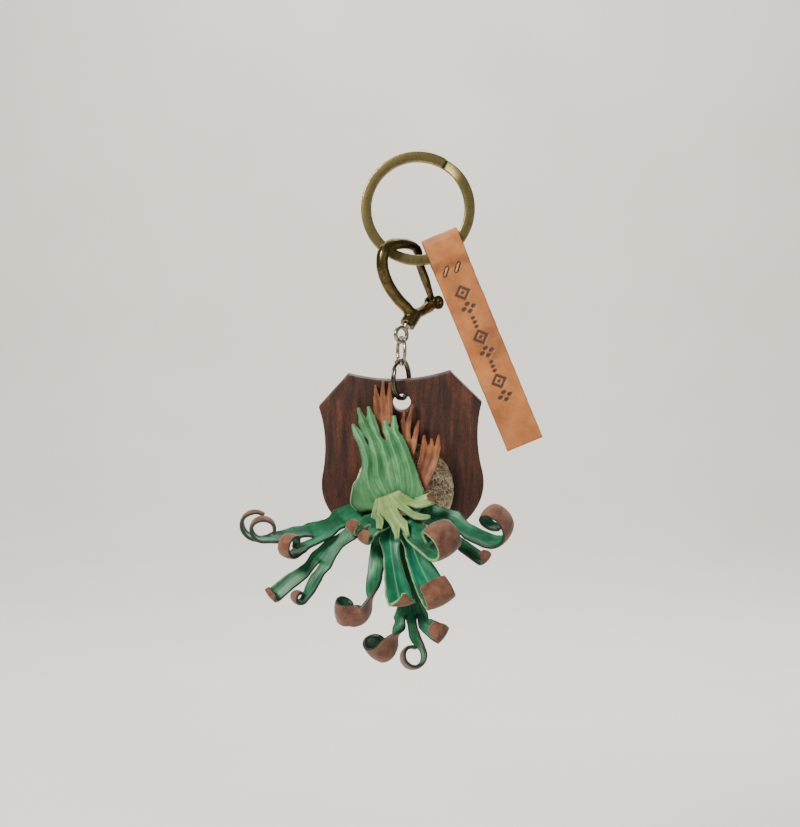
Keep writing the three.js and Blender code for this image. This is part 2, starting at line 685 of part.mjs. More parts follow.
const FRONDS = {
  green_shield_frond: [
    {
      from: [-2.5, -2, -1.2, 17],
      face: [[0, -1, 0.1], [-0.1, -1, 0.2]],
      points: [
        [-2.5, -3.2, 1, 21],
        [-2.4, -3.4, 4.6, 20.2],
        [-2.3, -3.2, 8.4, 16.6],
        [-2.9, -2.8, 13, 13.8],
        [-4.3, -2, 17.6, 12.6],
      ],
      split: [
        { points: [[-10.8, -0.8, 19.6, 2.4], [-12.6, 0.5, 23, 0.6]] },
        {
          points: [[-7.2, -0.8, 21, 4.6], [-8.6, -0.4, 24.4, 4.8]],
          split: [
            { points: [[-11, 0.5, 27.6, 0.6]] },
            { points: [[-8.1, 0.5, 28, 0.6]] },
          ],
        },
        {
          points: [[-1.8, -0.9, 21.6, 4.6]],
          split: [{ points: [[-3.4, -0.3, 24, 1]] }, { points: [[-0.8, -0.3, 25.4, 0.9]] }],
        },
      ],
    },
    sage,
  ],
  brown_shield_frond_top: [
    {
      from: [-3, -1.2, 6, 4.5],
      face: [[0, -1, 0.1], [0, -1, 0.1]],
      points: [[-3.5, -0.2, 15, 5], [-3.8, 1.8, 22, 5.2], [-4, 2.4, 30.8, 5.4]],
      split: [
        { points: [[-6.1, 1.7, 34.2, 0.5]] },
        { points: [[-3.9, 1.7, 35.4, 0.6]] },
        { points: [[-1.9, 1.7, 34.8, 0.5]] },
      ],
    },
    brown,
  ],
  brown_shield_frond_middle: [
    {
      from: [2.2, -1.6, 6, 3.5],
      face: [[0, -1, 0.1], [0, -1, 0.1]],
      points: [[2.7, -0.7, 14, 4.5], [3.4, 1.6, 18.5, 5]],
      split: [
        {
          points: [[2.6, 2.4, 23.5, 3]],
          split: [{ points: [[2.2, 2.5, 27, 0.5]] }, { points: [[4.6, 2.5, 28.8, 0.5]] }],
        },
        { points: [[5.8, 2.4, 21.6, 1.5], [6.4, 2, 24, 0.5]] },
      ],
    },
    brown,
  ],
  brown_shield_frond_right: [
    {
      from: [5.3, -2.2, 2, 3.5],
      face: [[0, -1, 0.1], [0, -1, 0.1]],
      points: [[7, -2.2, 7, 4.5], [9, -1.2, 12.5, 5.4], [9.8, 1.2, 16.4, 5.6]],
      split: [
        { points: [[7.8, 2.6, 19.8, 0.5]] },
        { points: [[10, 2.6, 18.8, 0.5]] },
        { points: [[12.1, 2.6, 20, 0.5]] },
      ],
    },
    brown,
  ],
  young_front_frond: [
    {
      from: [-2.8, -5, 2.8, 7],
      face: [[0, -0.9, 0.4], [0, -0.8, 0.6]],
      points: [[-1.2, -6.4, -0.8, 13]],
      split: [
        {
          points: [[5.6, -7.4, 1, 3], [9.4, -8.6, 2.2, 3.4]],
          curl: { turn: 200, radius: 1.5 },
        },
        { points: [[5.4, -8, -2.6, 2], [9.4, -8.6, -2.8, 0.8]] },
        {
          points: [[1, -8.6, -5.6, 5]],
          split: [{ points: [[3.2, -11, -8, 0.9]] }, { points: [[0.2, -10.2, -8.8, 1]] }],
        },
        { points: [[-4.8, -8.6, -3.6, 2], [-4.8, -9.8, -6, 1.6]] },
      ],
    },
    youngGreen,
  ],
  small_front_frond: [
    {
      from: [-3, -3.8, -3.8, 5],
      face: [[0, -1, 0.3], [-0.2, -0.8, 0.6]],
      points: [[-7.2, -7, -5.4, 7]],
      split: [
        { points: [[-8, -9.4, -8.8, 3]], curl: { turn: 230, radius: 2.2, tip: 0.8 } },
        { points: [[-11.6, -8.8, -6.6, 3]], curl: { turn: 240, radius: 2.2, tip: 0.8 } },
      ],
    },
    green,
  ],
  left_frond: [
    {
      from: [-5.5, 0.2, -1.5, 5.5],
      face: [[0, -1, 0.2], [0, -0.85, 0.5]],
      points: [[-10.5, -2, -3, 8], [-14.6, -4.4, -5.4, 11]],
      split: [
        {
          points: [[-18, -6.8, -11.4, 5], [-21.2, -8.4, -15.2, 6.8]],
          split: [
            {
              points: [[-22.2, -10, -19.5, 3.4], [-24, -11, -23, 3.6], [-25.5, -11.5, -25.5, 3.6]],
              face: [-0.75, -0.45, 0.45],
              curl: { turn: 300, radius: 2.1 },
            },
            {
              points: [[-25.8, -9.4, -18, 3.6], [-30, -10, -21, 4.2], [-33, -10.4, -23.6, 4.4]],
              curl: { turn: 175, radius: 2.5, tip: 0.7 },
            },
          ],
        },
        {
          points: [[-19.6, -6.4, -6.4, 6], [-23.6, -8, -7.8, 7]],
          split: [
            {
              points: [[-26.4, -11, -11.4, 3.4], [-28.4, -13.4, -13, 3.6]],
              face: [-0.1, -0.4, 0.9],
              curl: { turn: 330, radius: 3.6, tight: 2.2 },
            },
            {
              points: [[-28.2, -8.6, -7.4, 4.2], [-31.8, -9.5, -8.4, 4.6], [-34.6, -10, -8.8, 5]],
              face: [0.1, -0.4, 0.9],
              split: [
                { points: [[-36.6, -11.2, -9.2, 2.3]], curl: { turn: 300, radius: 3.8, tight: 3 } },
                { points: [[-36.8, -8.4, -8.8, 2.3]], curl: { turn: 240, radius: 4.8, tight: 4 } },
              ],
            },
          ],
        },
      ],
    },
    green,
  ],
  lower_left_frond: [
    {
      from: [-4, -1.5, -5.6, 3.2],
      face: [[0.1, -1, 0.2], [-0.6, 0.7, 0.35]],
      points: [
        [-5, -2.8, -11, 4.2],
        [-6, -6.5, -19, 4.6],
        [-6.8, -9.5, -25, 6.6],
        [-9.2, -10.5, -30, 7.4],
        [-13.4, -11, -30.4, 6.4],
      ],
      curl: { turn: 270, radius: 3.4, tight: 2 },
    },
    green,
  ],
  middle_frond: [
    {
      from: [0.5, -1.2, -3.5, 7],
      face: [[0, -1, 0.3], [0, -1, 0.2]],
      points: [[1, -5, -9.5, 12]],
      split: [
        {
          points: [[5.2, -6.4, -13.6, 5.6], [8, -8.4, -19.6, 7.5], [10.2, -9.6, -23.8, 8.4]],
          face: [0.2, -1, 0],
          curl: { turn: 215, radius: 4.6, tight: 4, tip: 0.9 },
        },
        {
          points: [[-1.1, -7.8, -16.5, 5.2], [0.2, -9.6, -23.8, 7]],
          face: [0.25, -0.95, 0],
          curl: { turn: 165, radius: 4.2, tight: 3.4, tip: 0.15 },
        },
      ],
    },
    green,
  ],
  hanging_frond: [
    {
      from: [1.5, -0.5, -4.5, 4.5],
      face: [[0, -1, 0.1], [0, -1, 0.1]],
      points: [[2.5, -1.5, -15.5, 5], [3.5, -4, -27, 6], [4, -5, -31, 9.5]],
      split: [
        { points: [[8, -6.4, -33, 4], [11, -7.4, -35, 5]], curl: { turn: 250, radius: 3.2 } },
        {
          points: [[5, -6.4, -36, 3.2], [7.4, -7, -40, 4]],
          face: [-0.95, -0.2, 0.2],
          curl: { turn: 330, radius: 3.8, tight: 2.6 },
        },
        {
          points: [[0.8, -6, -33.8, 3.6], [0, -7.4, -36.8, 6.2], [-2.4, -8.4, -40, 7]],
          face: [-0.6, 0.7, 0.2],
          curl: { turn: 270, radius: 4, tight: 2.4 },
        },
      ],
    },
    green,
  ],
  right_frond: [
    {
      from: [5.4, -0.3, -2.5, 5],
      face: [[0, -1, 0.4], [0, -0.9, 0.5]],
      points: [[10, -1.8, -3, 6], [15, -4.2, -5.6, 10]],
      split: [
        {
          points: [[20.5, -6.4, -7.4, 5], [25, -8, -9.6, 5.5]],
          face: [-0.1, -0.55, 0.83],
          curl: { turn: 400, radius: 6, tight: 3, drift: -4 },
        },
        {
          points: [[19, -7, -11.4, 3.6], [23.5, -9, -14.6, 3.8]],
          face: [0, -0.7, 0.7],
          curl: { turn: 230, radius: 1.9 },
        },
      ],
    },
    green,
  ],
  front_right_frond: [
    {
      from: [3.4, -4.6, -5.5, 5],
      face: [[0, -0.9, 0.4], [-0.07, -0.5, 0.75]],
      points: [[6, -9.5, -8, 7], [11, -13.5, -12, 8]],
      curl: { turn: 320, radius: 5.4, tight: 3.8 },
    },
    green,
  ],
};

for (const [name, [shape, material]] of Object.entries(FRONDS)) {
  add(fern, name, frond(shape), material);
}

export default part;
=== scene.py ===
"""Looks of the keychain with a leather staghorn fern on a walnut plaque.

Shapes are worked out in millimetres, in the frame's own axes, and scaled to metres as each
mesh is made. -Y is the front. Places come from the frame's joints.
"""
import json
import math
import random

import bmesh
import bpy
from mathutils import Euler, Matrix, Quaternion, Vector, noise


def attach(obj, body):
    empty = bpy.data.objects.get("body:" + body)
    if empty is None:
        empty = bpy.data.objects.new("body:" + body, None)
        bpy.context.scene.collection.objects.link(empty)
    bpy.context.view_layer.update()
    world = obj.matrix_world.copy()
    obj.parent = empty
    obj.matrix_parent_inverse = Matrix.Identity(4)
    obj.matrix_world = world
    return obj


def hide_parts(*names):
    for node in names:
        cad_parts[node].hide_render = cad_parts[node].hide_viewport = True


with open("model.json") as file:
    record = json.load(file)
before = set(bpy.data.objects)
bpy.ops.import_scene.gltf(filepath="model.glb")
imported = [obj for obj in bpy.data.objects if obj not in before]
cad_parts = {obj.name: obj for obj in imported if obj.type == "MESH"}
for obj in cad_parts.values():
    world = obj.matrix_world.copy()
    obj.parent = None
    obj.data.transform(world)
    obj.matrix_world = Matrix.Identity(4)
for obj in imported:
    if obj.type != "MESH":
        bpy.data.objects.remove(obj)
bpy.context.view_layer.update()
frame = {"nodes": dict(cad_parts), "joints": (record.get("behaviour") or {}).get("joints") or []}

MM = 0.001
ACROSS, UP = Vector((1, 0, 0)), Vector((0, 0, 1))
JOINTS = {joint["name"]: joint for joint in frame["joints"]}


def joint_at(name):
    return Vector(JOINTS[name]["pos_m"]) / MM


# ---------------- driving dimensions
RING_CENTRE = joint_at("tag_slide")
KEY_RING = {
    "inner": 13.5, "outer": 16.5, "coil": 1.1, "between": 0.15, "corner": 0.38,
    "start": 60, "step": 36, "turned": 0, "steps": 360,
}
SMALL_RING = {
    "inner": 5.0, "outer": 6.15, "coil": 0.55, "between": 0.12, "corner": 0.2,
    "start": 150, "step": 40, "turned": 66, "steps": 240,
}
SMALL_CENTRE = joint_at("plaque_nod")
JUMP_RING = {"wire": 0.5, "radius": 4.0, "turned": 105, "cut_at": 200, "cut": 0.1}
JUMP_CENTRE = (joint_at("jump_ring_swing") + joint_at("small_ring_sway")) / 2
JUMP_CENTRE.z = joint_at("small_ring_sway").z + JUMP_RING["radius"]
PIN = {"radius": 0.5, "reach": 2.1}  # reach is half its length
SPRING = {"turns": 3, "radius": 1.0, "wire": 0.08, "start": -1.05, "length": 0.5}

PLAQUE = {"thick": 4, "hole": 2.6, "centre": -0.5, "lean": 12, "roll": -1.7, "bevel": 0.5}
PLAQUE_HOLE = -(SMALL_RING["inner"] - 1) - PLAQUE["hole"]
MOSS = {"radius": 14.5, "height": 9, "below": 25.8, "gap": 0.3}

TAG = {"width": 11, "length": 75, "leather": 1.1, "lean": 22.4, "offset": 2.7, "corner": 0.28}
FOLD = {"inside": 1.475, "top": -10.2, "straight": -16.6, "closed": -18.6}
STITCH = {"at": -20.1, "across": (-2.2, 1.4), "slant": Vector((0.75, 0.95)), "thread": 0.4}
STAMP = {"first": -27.6, "pitch": 4.6, "count": 8, "stretch": 1.3, "deep": 0.26}

LEATHER = 0.9
FERN_ROOT = SMALL_CENTRE + Vector((-1.3, -4.5, -36))

# ---------------- meshes
def placed(name, data):
    thing = bpy.data.objects.new(name, data)
    bpy.context.scene.collection.objects.link(thing)
    return thing


def new_mesh(name, points, faces):
    mesh = bpy.data.meshes.new(name)
    mesh.from_pydata([Vector(p) * MM for p in points], [], faces)
    mesh.validate()
    mesh.shade_smooth()
    return placed(name, mesh)


def give_attribute(thing, name, values):
    attribute = thing.data.attributes.new(name, "FLOAT", "POINT")
    attribute.data.foreach_set("value", values)


def settle(thing, body, replaced=(), materials=()):
    """Puts a finished piece on its body, in place of the CAD nodes it stands for."""
    for material in materials:
        thing.data.materials.append(material)
    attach(thing, body)
    if replaced:
        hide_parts(*replaced)


def strip_faces(rows, columns, looped=False, closed=True):
    """Quads that join rows of points, each row a ring when closed."""
    faces = []
    for row in range(rows if looped else rows - 1):
        for i in range(columns if closed else columns - 1):
            a = row * columns + i
            b = row * columns + (i + 1) % columns
            after = ((row + 1) % rows) * columns
            faces.append((a, b, after + (i + 1) % columns, after + i))
    return faces


def loft(name, sections, looped=False):
    """A closed mesh through cross-sections, each a ring of points."""
    columns = len(sections[0])
    faces = strip_faces(len(sections), columns, looped)
    if not looped:
        last = (len(sections) - 1) * columns
        faces.append(tuple(reversed(range(columns))))
        faces.append(tuple(range(last, last + columns)))
    points = [p for section in sections for p in section]
    thing = new_mesh(name, points, faces)
    face_outwards(thing)
    return thing


def face_outwards(thing):
    work = bmesh.new()
    work.from_mesh(thing.data)
    bmesh.ops.recalc_face_normals(work, faces=work.faces)
    work.to_mesh(thing.data)
    work.free()


def sharp_over(thing, degrees):
    """Shades smooth, with edges sharper than this angle left crisp."""
    thing.data.set_sharp_from_angle(angle=math.radians(degrees))


def with_modifier(thing, kind, **settings):
    modifier = thing.modifiers.new(kind.lower(), kind)
    for key, value in settings.items():
        setattr(modifier, key, value)


def baked(thing):
    """Applies a piece's modifiers, so that its mesh is final."""
    graph = bpy.context.evaluated_depsgraph_get()
    mesh = bpy.data.meshes.new_from_object(thing.evaluated_get(graph))
    thing.modifiers.clear()
    thing.data = mesh
    return thing


def rounded_box_section(half_wide, half_thick, corner, steps=4):
    """Points round a rectangle with round corners."""
    ring = []
    for k, (sx, sy) in enumerate([(1, 1), (-1, 1), (-1, -1), (1, -1)]):
        for i in range(steps + 1):
            angle = math.radians(90 * k + 90 * i / steps)
            x = sx * (half_wide - corner) + corner * math.cos(angle)
            y = sy * (half_thick - corner) + corner * math.sin(angle)
            ring.append((x, y))
    return ring


def smoothstep(x, low=0.0, high=1.0):
    t = min(max((x - low) / (high - low), 0), 1)
    return t * t * (3 - 2 * t)


def lerp(a, b, t):
    return a + (b - a) * t


def eased(values, fraction):
    """The value a fraction of the way along, on a smooth curve that stays between the values."""
    place = fraction * (len(values) - 1)
    i = min(int(place), max(len(values) - 2, 0))
    slopes = []
    for k in (i, i + 1):
        if k == 0 or k >= len(values) - 1:
            slopes.append(values[min(k + 1, len(values) - 1)] - values[max(k - 1, 0)])
            continue
        before, after = values[k] - values[k - 1], values[k + 1] - values[k]
        product = before * after
        slopes.append(2 * product / (before + after) if product > 0 else 0)
    a, b = values[i], values[min(i + 1, len(values) - 1)]
    t = place - i
    rise = (3 * (b - a) - 2 * slopes[0] - slopes[1]) * t * t
    return a + slopes[0] * t + rise + (2 * (a - b) + slopes[0] + slopes[1]) * t ** 3


def bezier(points, steps):
    """Points along a Bezier curve, without its first."""
    found = []
    for i in range(1, steps + 1):
        row = [Vector(p) for p in points]
        while len(row) > 1:
            row = [a.lerp(b, i / steps) for a, b in zip(row, row[1:])]
        found.append(row[0])
    return found


class Curve:
    """A centripetal Catmull-Rom curve, the same one that lays out the CAD fronds."""

    def __init__(self, points):
        self.points = [Vector(p) for p in points]

    def point(self, t):
        points = self.points
        place = (len(points) - 1) * t
        i = min(int(place), len(points) - 2)
        weight = place - i
        b, c = points[i], points[i + 1]
        a = points[i - 1] if i > 0 else 2 * b - c
        d = points[i + 2] if i + 2 < len(points) else 2 * c - b
        before, span, after = ((q - p).length ** 0.5 for p, q in ((a, b), (b, c), (c, d)))
        span = span if span > 1e-4 else 1
        before = before if before > 1e-4 else span
        after = after if after > 1e-4 else span
        leave = ((b - a) / before - (c - a) / (before + span) + (c - b) / span) * span
        arrive = ((c - b) / span - (d - b) / (span + after) + (d - c) / after) * span
        square, cube = weight * weight, weight ** 3
        return (
            b
            + leave * weight
            + (3 * (c - b) - 2 * leave - arrive) * square
            + (2 * (b - c) + leave + arrive) * cube
        )

    def tangent(self, t):
        step = 1e-4
        low, high = max(t - step, 0), min(t + step, 1)
        return (self.point(high) - self.point(low)).normalized()


def crossed(along):
    """Two directions square to this one and to each other."""
    side = along.orthogonal().normalized()
    return side, along.cross(side)


def spoke(side, other, angle, radius=1.0):
    """The way out at an angle, in the plane of two crossed directions."""
    return (side * math.cos(angle) + other * math.sin(angle)) * radius


def circle(centre, side, other, radius, sides):
    return [centre + spoke(side, other, 2 * math.pi * k / sides, radius) for k in range(sides)]


def tangents(path, looped=False):
    count = len(path)
    if looped:
        return [(path[(i + 1) % count] - path[i - 1]).normalized() for i in range(count)]
    return [(path[min(i + 1, count - 1)] - path[max(i - 1, 0)]).normalized() for i in range(count)]


def tube(name, path, radius, sides=12, looped=False):
    """A round rod along a list of points."""
    headings = tangents(path, looped)
    normal = headings[0].orthogonal().normalized()
    sections = []
    for spot, along in zip(path, headings):
        normal = (normal - along * normal.dot(along)).normalized()
        sections.append(circle(spot, normal, along.cross(normal), radius, sides))
    return loft(name, sections, looped)


# ---------------- materials
class Shader:
    """A material built from nodes, with short calls for the nodes used here."""

    def __init__(self, name):
        self.material = bpy.data.materials.new(name)
        self.material.use_nodes = True
        self.tree = self.material.node_tree
        self.base = self.tree.nodes["Principled BSDF"]

    def add(self, kind, inputs=(), **settings):
        node = self.tree.nodes.new(kind)
        for key, value in settings.items():
            setattr(node, key, value)
        for key, value in dict(inputs).items():
            self.feed(node.inputs[key], value)
        return node

    def feed(self, socket, value):
        if isinstance(value, bpy.types.NodeSocket):
            self.tree.links.new(value, socket)
        else:
            socket.default_value = value

    def set(self, **values):
        for key, value in values.items():
            self.feed(self.base.inputs[key.replace("_", " ")], value)

    def place(self, scale=(1, 1, 1), turned=(0, 0, 0)):
        """Object coordinates in millimetres, then scaled."""
        where = self.add("ShaderNodeTexCoord").outputs["Object"]
        sizes = [s / MM for s in scale]
        inputs = {"Vector": where, "Scale": sizes, "Rotation": turned}
        return self.add("ShaderNodeMapping", inputs).outputs["Vector"]

    def noise(self, where, scale, detail=4, roughness=0.5, distortion=0):
        inputs = {"Vector": where, "Scale": scale, "Detail": detail, "Roughness": roughness}
        inputs["Distortion"] = distortion
        return self.add("ShaderNodeTexNoise", inputs).outputs["Fac"]

    def attribute(self, name):
        return self.add("ShaderNodeAttribute", attribute_name=name).outputs["Fac"]

    def ramp(self, fac, stops):
        node = self.add("ShaderNodeValToRGB", {"Fac": fac})
        elements = node.color_ramp.elements
        for _ in range(len(stops) - 2):
            elements.new(0.5)
        for element, (position, colour) in zip(elements, stops):
            element.position = position
            element.color = (*colour, 1)
        return node.outputs["Color"]

    def grey(self, fac, *stops):
        return self.ramp(fac, [(position, (value, value, value)) for position, value in stops])

    def mix(self, fac, a, b, kind="MIX"):
        node = self.add("ShaderNodeMix", data_type="RGBA", blend_type=kind)
        self.feed(node.inputs["Factor"], fac)
        for socket, value in ((node.inputs[6], a), (node.inputs[7], b)):
            self.feed(socket, (*value, 1) if isinstance(value, tuple) else value)
        return node.outputs[2]

    def math(self, operation, a, b=0.0, c=0.0):
        node = self.add("ShaderNodeMath", operation=operation)
        for socket, value in zip(node.inputs, (a, b, c)):
            self.feed(socket, value)
        return node.outputs[0]

    def bump(self, height, distance_mm, strength=1.0, normal=None):
        inputs = {"Height": height, "Distance": distance_mm * MM, "Strength": strength}
        if normal is not None:
            inputs["Normal"] = normal
        return self.add("ShaderNodeBump", inputs).outputs["Normal"]


def metal(name, dark, light, roughness, polish):
    """Plated metal: a patina that thins to bright metal in patches, with fine scratches."""
    s = Shader(name)
    where = s.place()
    patches = s.noise(where, 0.35, 5, 0.6, 0.4)
    grime = s.noise(where, 2.4, 6, 0.7)
    worn = s.math("MULTIPLY_ADD", grime, 0.5, s.math("MULTIPLY", patches, 0.6))
    s.set(Base_Color=s.ramp(worn, [(0.38, dark), (0.62, light)]), Metallic=1.0)
    s.set(Roughness=s.ramp(worn, [(0.35, (roughness,) * 3), (0.7, (polish,) * 3)]))
    scratches = s.noise(s.place((1, 1, 0.08)), 9, 3, 0.6)
    dents = s.noise(where, 1.1, 2)
    normal = s.bump(scratches, 0.03, 0.35)
    s.set(Normal=s.bump(dents, 0.08, 0.35, normal))
    return s.material


def walnut():
    s = Shader("walnut_oiled")
    turned = tuple(math.radians(a) for a in (-PLAQUE["lean"], -PLAQUE["roll"], 0))
    waves = s.noise(s.place((0.05, 0.05, 0.012), turned), 3, 3, 0.5)
    boards = {0: s.place((1, 0.5, 0.035), turned), 1: waves}
    shifted = s.add("ShaderNodeVectorMath", boards, operation="ADD").outputs[0]
    streaks = s.noise(shifted, 0.42, 6, 0.62, 0.25)
    fine = s.noise(s.place((1, 1, 0.04), turned), 3.2, 5, 0.7)
    tone = s.math("MULTIPLY_ADD", fine, 0.28, s.math("MULTIPLY", streaks, 0.78))
    colour = s.ramp(
        tone,
        [
            (0.36, (0.006, 0.002, 0.0015)),
            (0.47, (0.024, 0.0065, 0.004)),
            (0.56, (0.048, 0.0135, 0.0075)),
            (0.66, (0.09, 0.027, 0.014)),
        ],
    )
    pores = s.noise(s.place((1, 1, 0.05), turned), 7, 2, 0.4)
    dark_pores = s.grey(pores, (0.36, 0.35), (0.46, 1.0))
    s.set(Base_Color=s.mix(1.0, colour, dark_pores, "MULTIPLY"))
    s.set(Roughness=s.grey(tone, (0.35, 0.66), (0.65, 0.5)), Specular_IOR_Level=0.35)
    normal = s.bump(dark_pores, 0.06, 0.5)
    s.set(Normal=s.bump(fine, 0.05, 0.4, normal))
    return s.material


def fibre(name, dark, light):
    s = Shader(name)
    where = s.place()
    tone = s.noise(where, 0.5, 5, 0.7)
    s.set(Base_Color=s.ramp(tone, [(0.36, dark), (0.62, light)]), Roughness=0.95)
    s.set(Sheen_Weight=0.3, Sheen_Roughness=0.6)
    s.set(Normal=s.bump(s.noise(where, 5, 4, 0.7), 0.15, 0.8))
    return s.material


def tag_leather():
    s = Shader("tag_leather_tan")
    where = s.place()
    cloud = s.noise(where, 0.12, 5, 0.6)
    grain = s.noise(where, 3.5, 6, 0.75)
    tone = s.math("MULTIPLY_ADD", grain, 0.3, s.math("MULTIPLY", cloud, 0.75))
    colour = s.ramp(
        tone,
        [(0.4, (0.2, 0.062, 0.012)), (0.53, (0.31, 0.105, 0.022)), (0.66, (0.41, 0.155, 0.038))],
    )
    burnt = s.mix(s.attribute("pressed"), colour, (0.04, 0.012, 0.005))
    s.set(Base_Color=s.mix(s.attribute("rim"), burnt, (0.11, 0.035, 0.012)))
    s.set(Roughness=s.grey(grain, (0.35, 0.62), (0.65, 0.48)), Sheen_Weight=0.1)
    pebbles = s.add("ShaderNodeTexVoronoi", {"Vector": where, "Scale": 1.9}).outputs["Distance"]
    normal = s.bump(pebbles, 0.05, 0.35)
    s.set(Normal=s.bump(grain, 0.06, 0.45, normal))
    return s.material


def dyed_top(name, shades, gloss, line_depth=0.12, lines=2.0, rib_line_and_highlight=None, crease_shade=None):
    """The dyed side of a frond: lines run along its strands, and the dye is cloudy.

    shades are its dark, middle and light colour. The rib line colours the middle line of every strand;
    on the sage shield it is a painted highlight along each pleat's crest. The crease colour is painted
    shade in the line between two strands, where the pleats fold. Each is given as (amount, colour).
    """
    deep, middle, light = shades
    s = Shader(name)
    where = s.place()
    strand = s.attribute("strand")
    along = s.attribute("along")
    wander = s.noise(where, 0.22, 3, 0.5)
    shifted = s.math("MULTIPLY_ADD", wander, 0.6, s.math("MULTIPLY", strand, lines))
    stretched = {"X": shifted, "Y": s.math("MULTIPLY", along, 0.05)}
    lengthwise = s.add("ShaderNodeCombineXYZ", stretched).outputs[0]
    threads = s.noise(lengthwise, 2.6, 5, 0.65)
    cloud = s.noise(where, 0.16, 4, 0.55)
    tone = s.math("MULTIPLY_ADD", threads, 0.5, s.math("MULTIPLY", cloud, 0.55))
    colour = s.ramp(tone, [(0.36, deep), (0.52, middle), (0.68, light)])
    from_middle = s.math("ABSOLUTE", s.attribute("middle"))
    # The rib line lightens or darkens each strand's middle, on the sage shield as a painted highlight
    # on the pleat crests; the crease colour is painted shade in the folds between strands.
    for line, stops in ((rib_line_and_highlight, ((0.0, 1.0), (0.1, 0.0))), (crease_shade, ((0.72, 0.0), (0.96, 1.0)))):
        if line:
            amount, line_colour = line
            shown = s.math("MULTIPLY", s.grey(from_middle, *stops), amount)
            colour = s.mix(shown, colour, line_colour)
    rim = s.grey(s.attribute("rim"), (0.72, 0.0), (1.0, 1.0))
    s.set(Base_Color=s.mix(rim, colour, tuple(c * 0.35 for c in deep)))
    s.set(Roughness=s.grey(tone, (0.3, gloss + 0.14), (0.7, gloss)), Specular_IOR_Level=0.36)
    s.set(Specular_Tint=(0.7, 1.0, 0.86, 1) if deep[1] > deep[0] else (1.0, 0.9, 0.8, 1))
    grain = s.noise(where, 6, 4, 0.7)
    normal = s.bump(threads, line_depth, 0.7)
    s.set(Normal=s.bump(grain, 0.03, 0.3, normal))
    return s.material


def suede(name, dark, light):
    """The undyed flesh side of a frond: matt, with a short nap and darker patches."""
    s = Shader(name)
    where = s.place()
    nap = s.noise(where, 4.5, 6, 0.8)
    cloud = s.noise(where, 0.3, 4, 0.6)
    tone = s.math("MULTIPLY_ADD", nap, 0.45, s.math("MULTIPLY", cloud, 0.6))
    s.set(Base_Color=s.ramp(tone, [(0.4, dark), (0.64, light)]), Roughness=0.9)
    s.set(Sheen_Weight=0.25, Sheen_Roughness=0.5, Specular_IOR_Level=0.25)
    s.set(Normal=s.bump(nap, 0.12, 0.7))
    return s.material


def edge_paint(name, colour):
    s = Shader(name)
    tone = s.noise(s.place(), 1.2, 4, 0.6)
    lighter = tuple(min(c * 2.2, 1) for c in colour)
    s.set(Base_Color=s.ramp(tone, [(0.4, colour), (0.68, lighter)]), Roughness=0.5)
    s.set(Normal=s.bump(tone, 0.06, 0.4))
    return s.material


BRASS = metal("antique_brass", (0.1, 0.082, 0.036), (0.25, 0.205, 0.09), 0.4, 0.27)
HOOK_BRASS = metal("dark_antique_brass", (0.016, 0.013, 0.009), (0.125, 0.092, 0.036), 0.4, 0.22)
STEEL = metal("plated_steel", (0.13, 0.118, 0.09), (0.38, 0.35, 0.28), 0.33, 0.18)
DARK_STEEL = metal("dark_steel", (0.035, 0.031, 0.026), (0.17, 0.15, 0.12), 0.36, 0.22)
WALNUT = walnut()
MOSS_FIBRE = fibre("moss_fibre", (0.3, 0.19, 0.1), (0.84, 0.72, 0.5))
MOSS_BED = fibre("moss_bed", (0.09, 0.055, 0.03), (0.4, 0.3, 0.17))
THREAD = fibre("waxed_thread", (0.26, 0.12, 0.045), (0.52, 0.28, 0.13))
TAN = tag_leather()
SUEDE = suede("brown_suede", (0.042, 0.016, 0.01), (0.165, 0.07, 0.042))
EMERALD = dyed_top(
    "emerald_leather",
    [(0.002, 0.03, 0.013), (0.007, 0.082, 0.038), (0.025, 0.17, 0.09)],
    gloss=0.36,
)
EMERALD_RIBBED = dyed_top(
    "emerald_ribbed_leather",
    [(0.001, 0.035, 0.018), (0.004, 0.095, 0.05), (0.018, 0.19, 0.11)],
    gloss=0.28,
    rib_line_and_highlight=(0.7, (0.12, 0.28, 0.15)),
)
# The sage shield's crease colour is painted shade that darkens the folds between its strands.
SAGE = dyed_top(
    "sage_leather",
    [(0.016, 0.085, 0.03), (0.04, 0.155, 0.06), (0.105, 0.26, 0.12)],
    gloss=0.42,
    line_depth=0.16,
    lines=1.2,
    # Its rib line is a painted highlight along the crest of each pleat.
    rib_line_and_highlight=(0.35, (0.2, 0.38, 0.2)),
    crease_shade=(0.75, (0.008, 0.045, 0.017)),
)
YOUNG = dyed_top(
    "young_leather",
    [(0.07, 0.14, 0.035), (0.16, 0.25, 0.08), (0.3, 0.4, 0.17)],
    gloss=0.4,
    line_depth=0.16,
    lines=1.6,
    rib_line_and_highlight=(0.7, (0.035, 0.08, 0.018)),
)
DRY = dyed_top(
    "dry_leather",
    [(0.04, 0.013, 0.006), (0.15, 0.052, 0.022), (0.3, 0.12, 0.05)],
    gloss=0.46,
    lines=1.2,
)
DARK_EDGE = edge_paint("dark_green_edge", (0.003, 0.01, 0.006))
LIGHT_EDGE = edge_paint("pale_green_edge", (0.09, 0.17, 0.075))
BROWN_EDGE = edge_paint("brown_edge", (0.07, 0.026, 0.014))

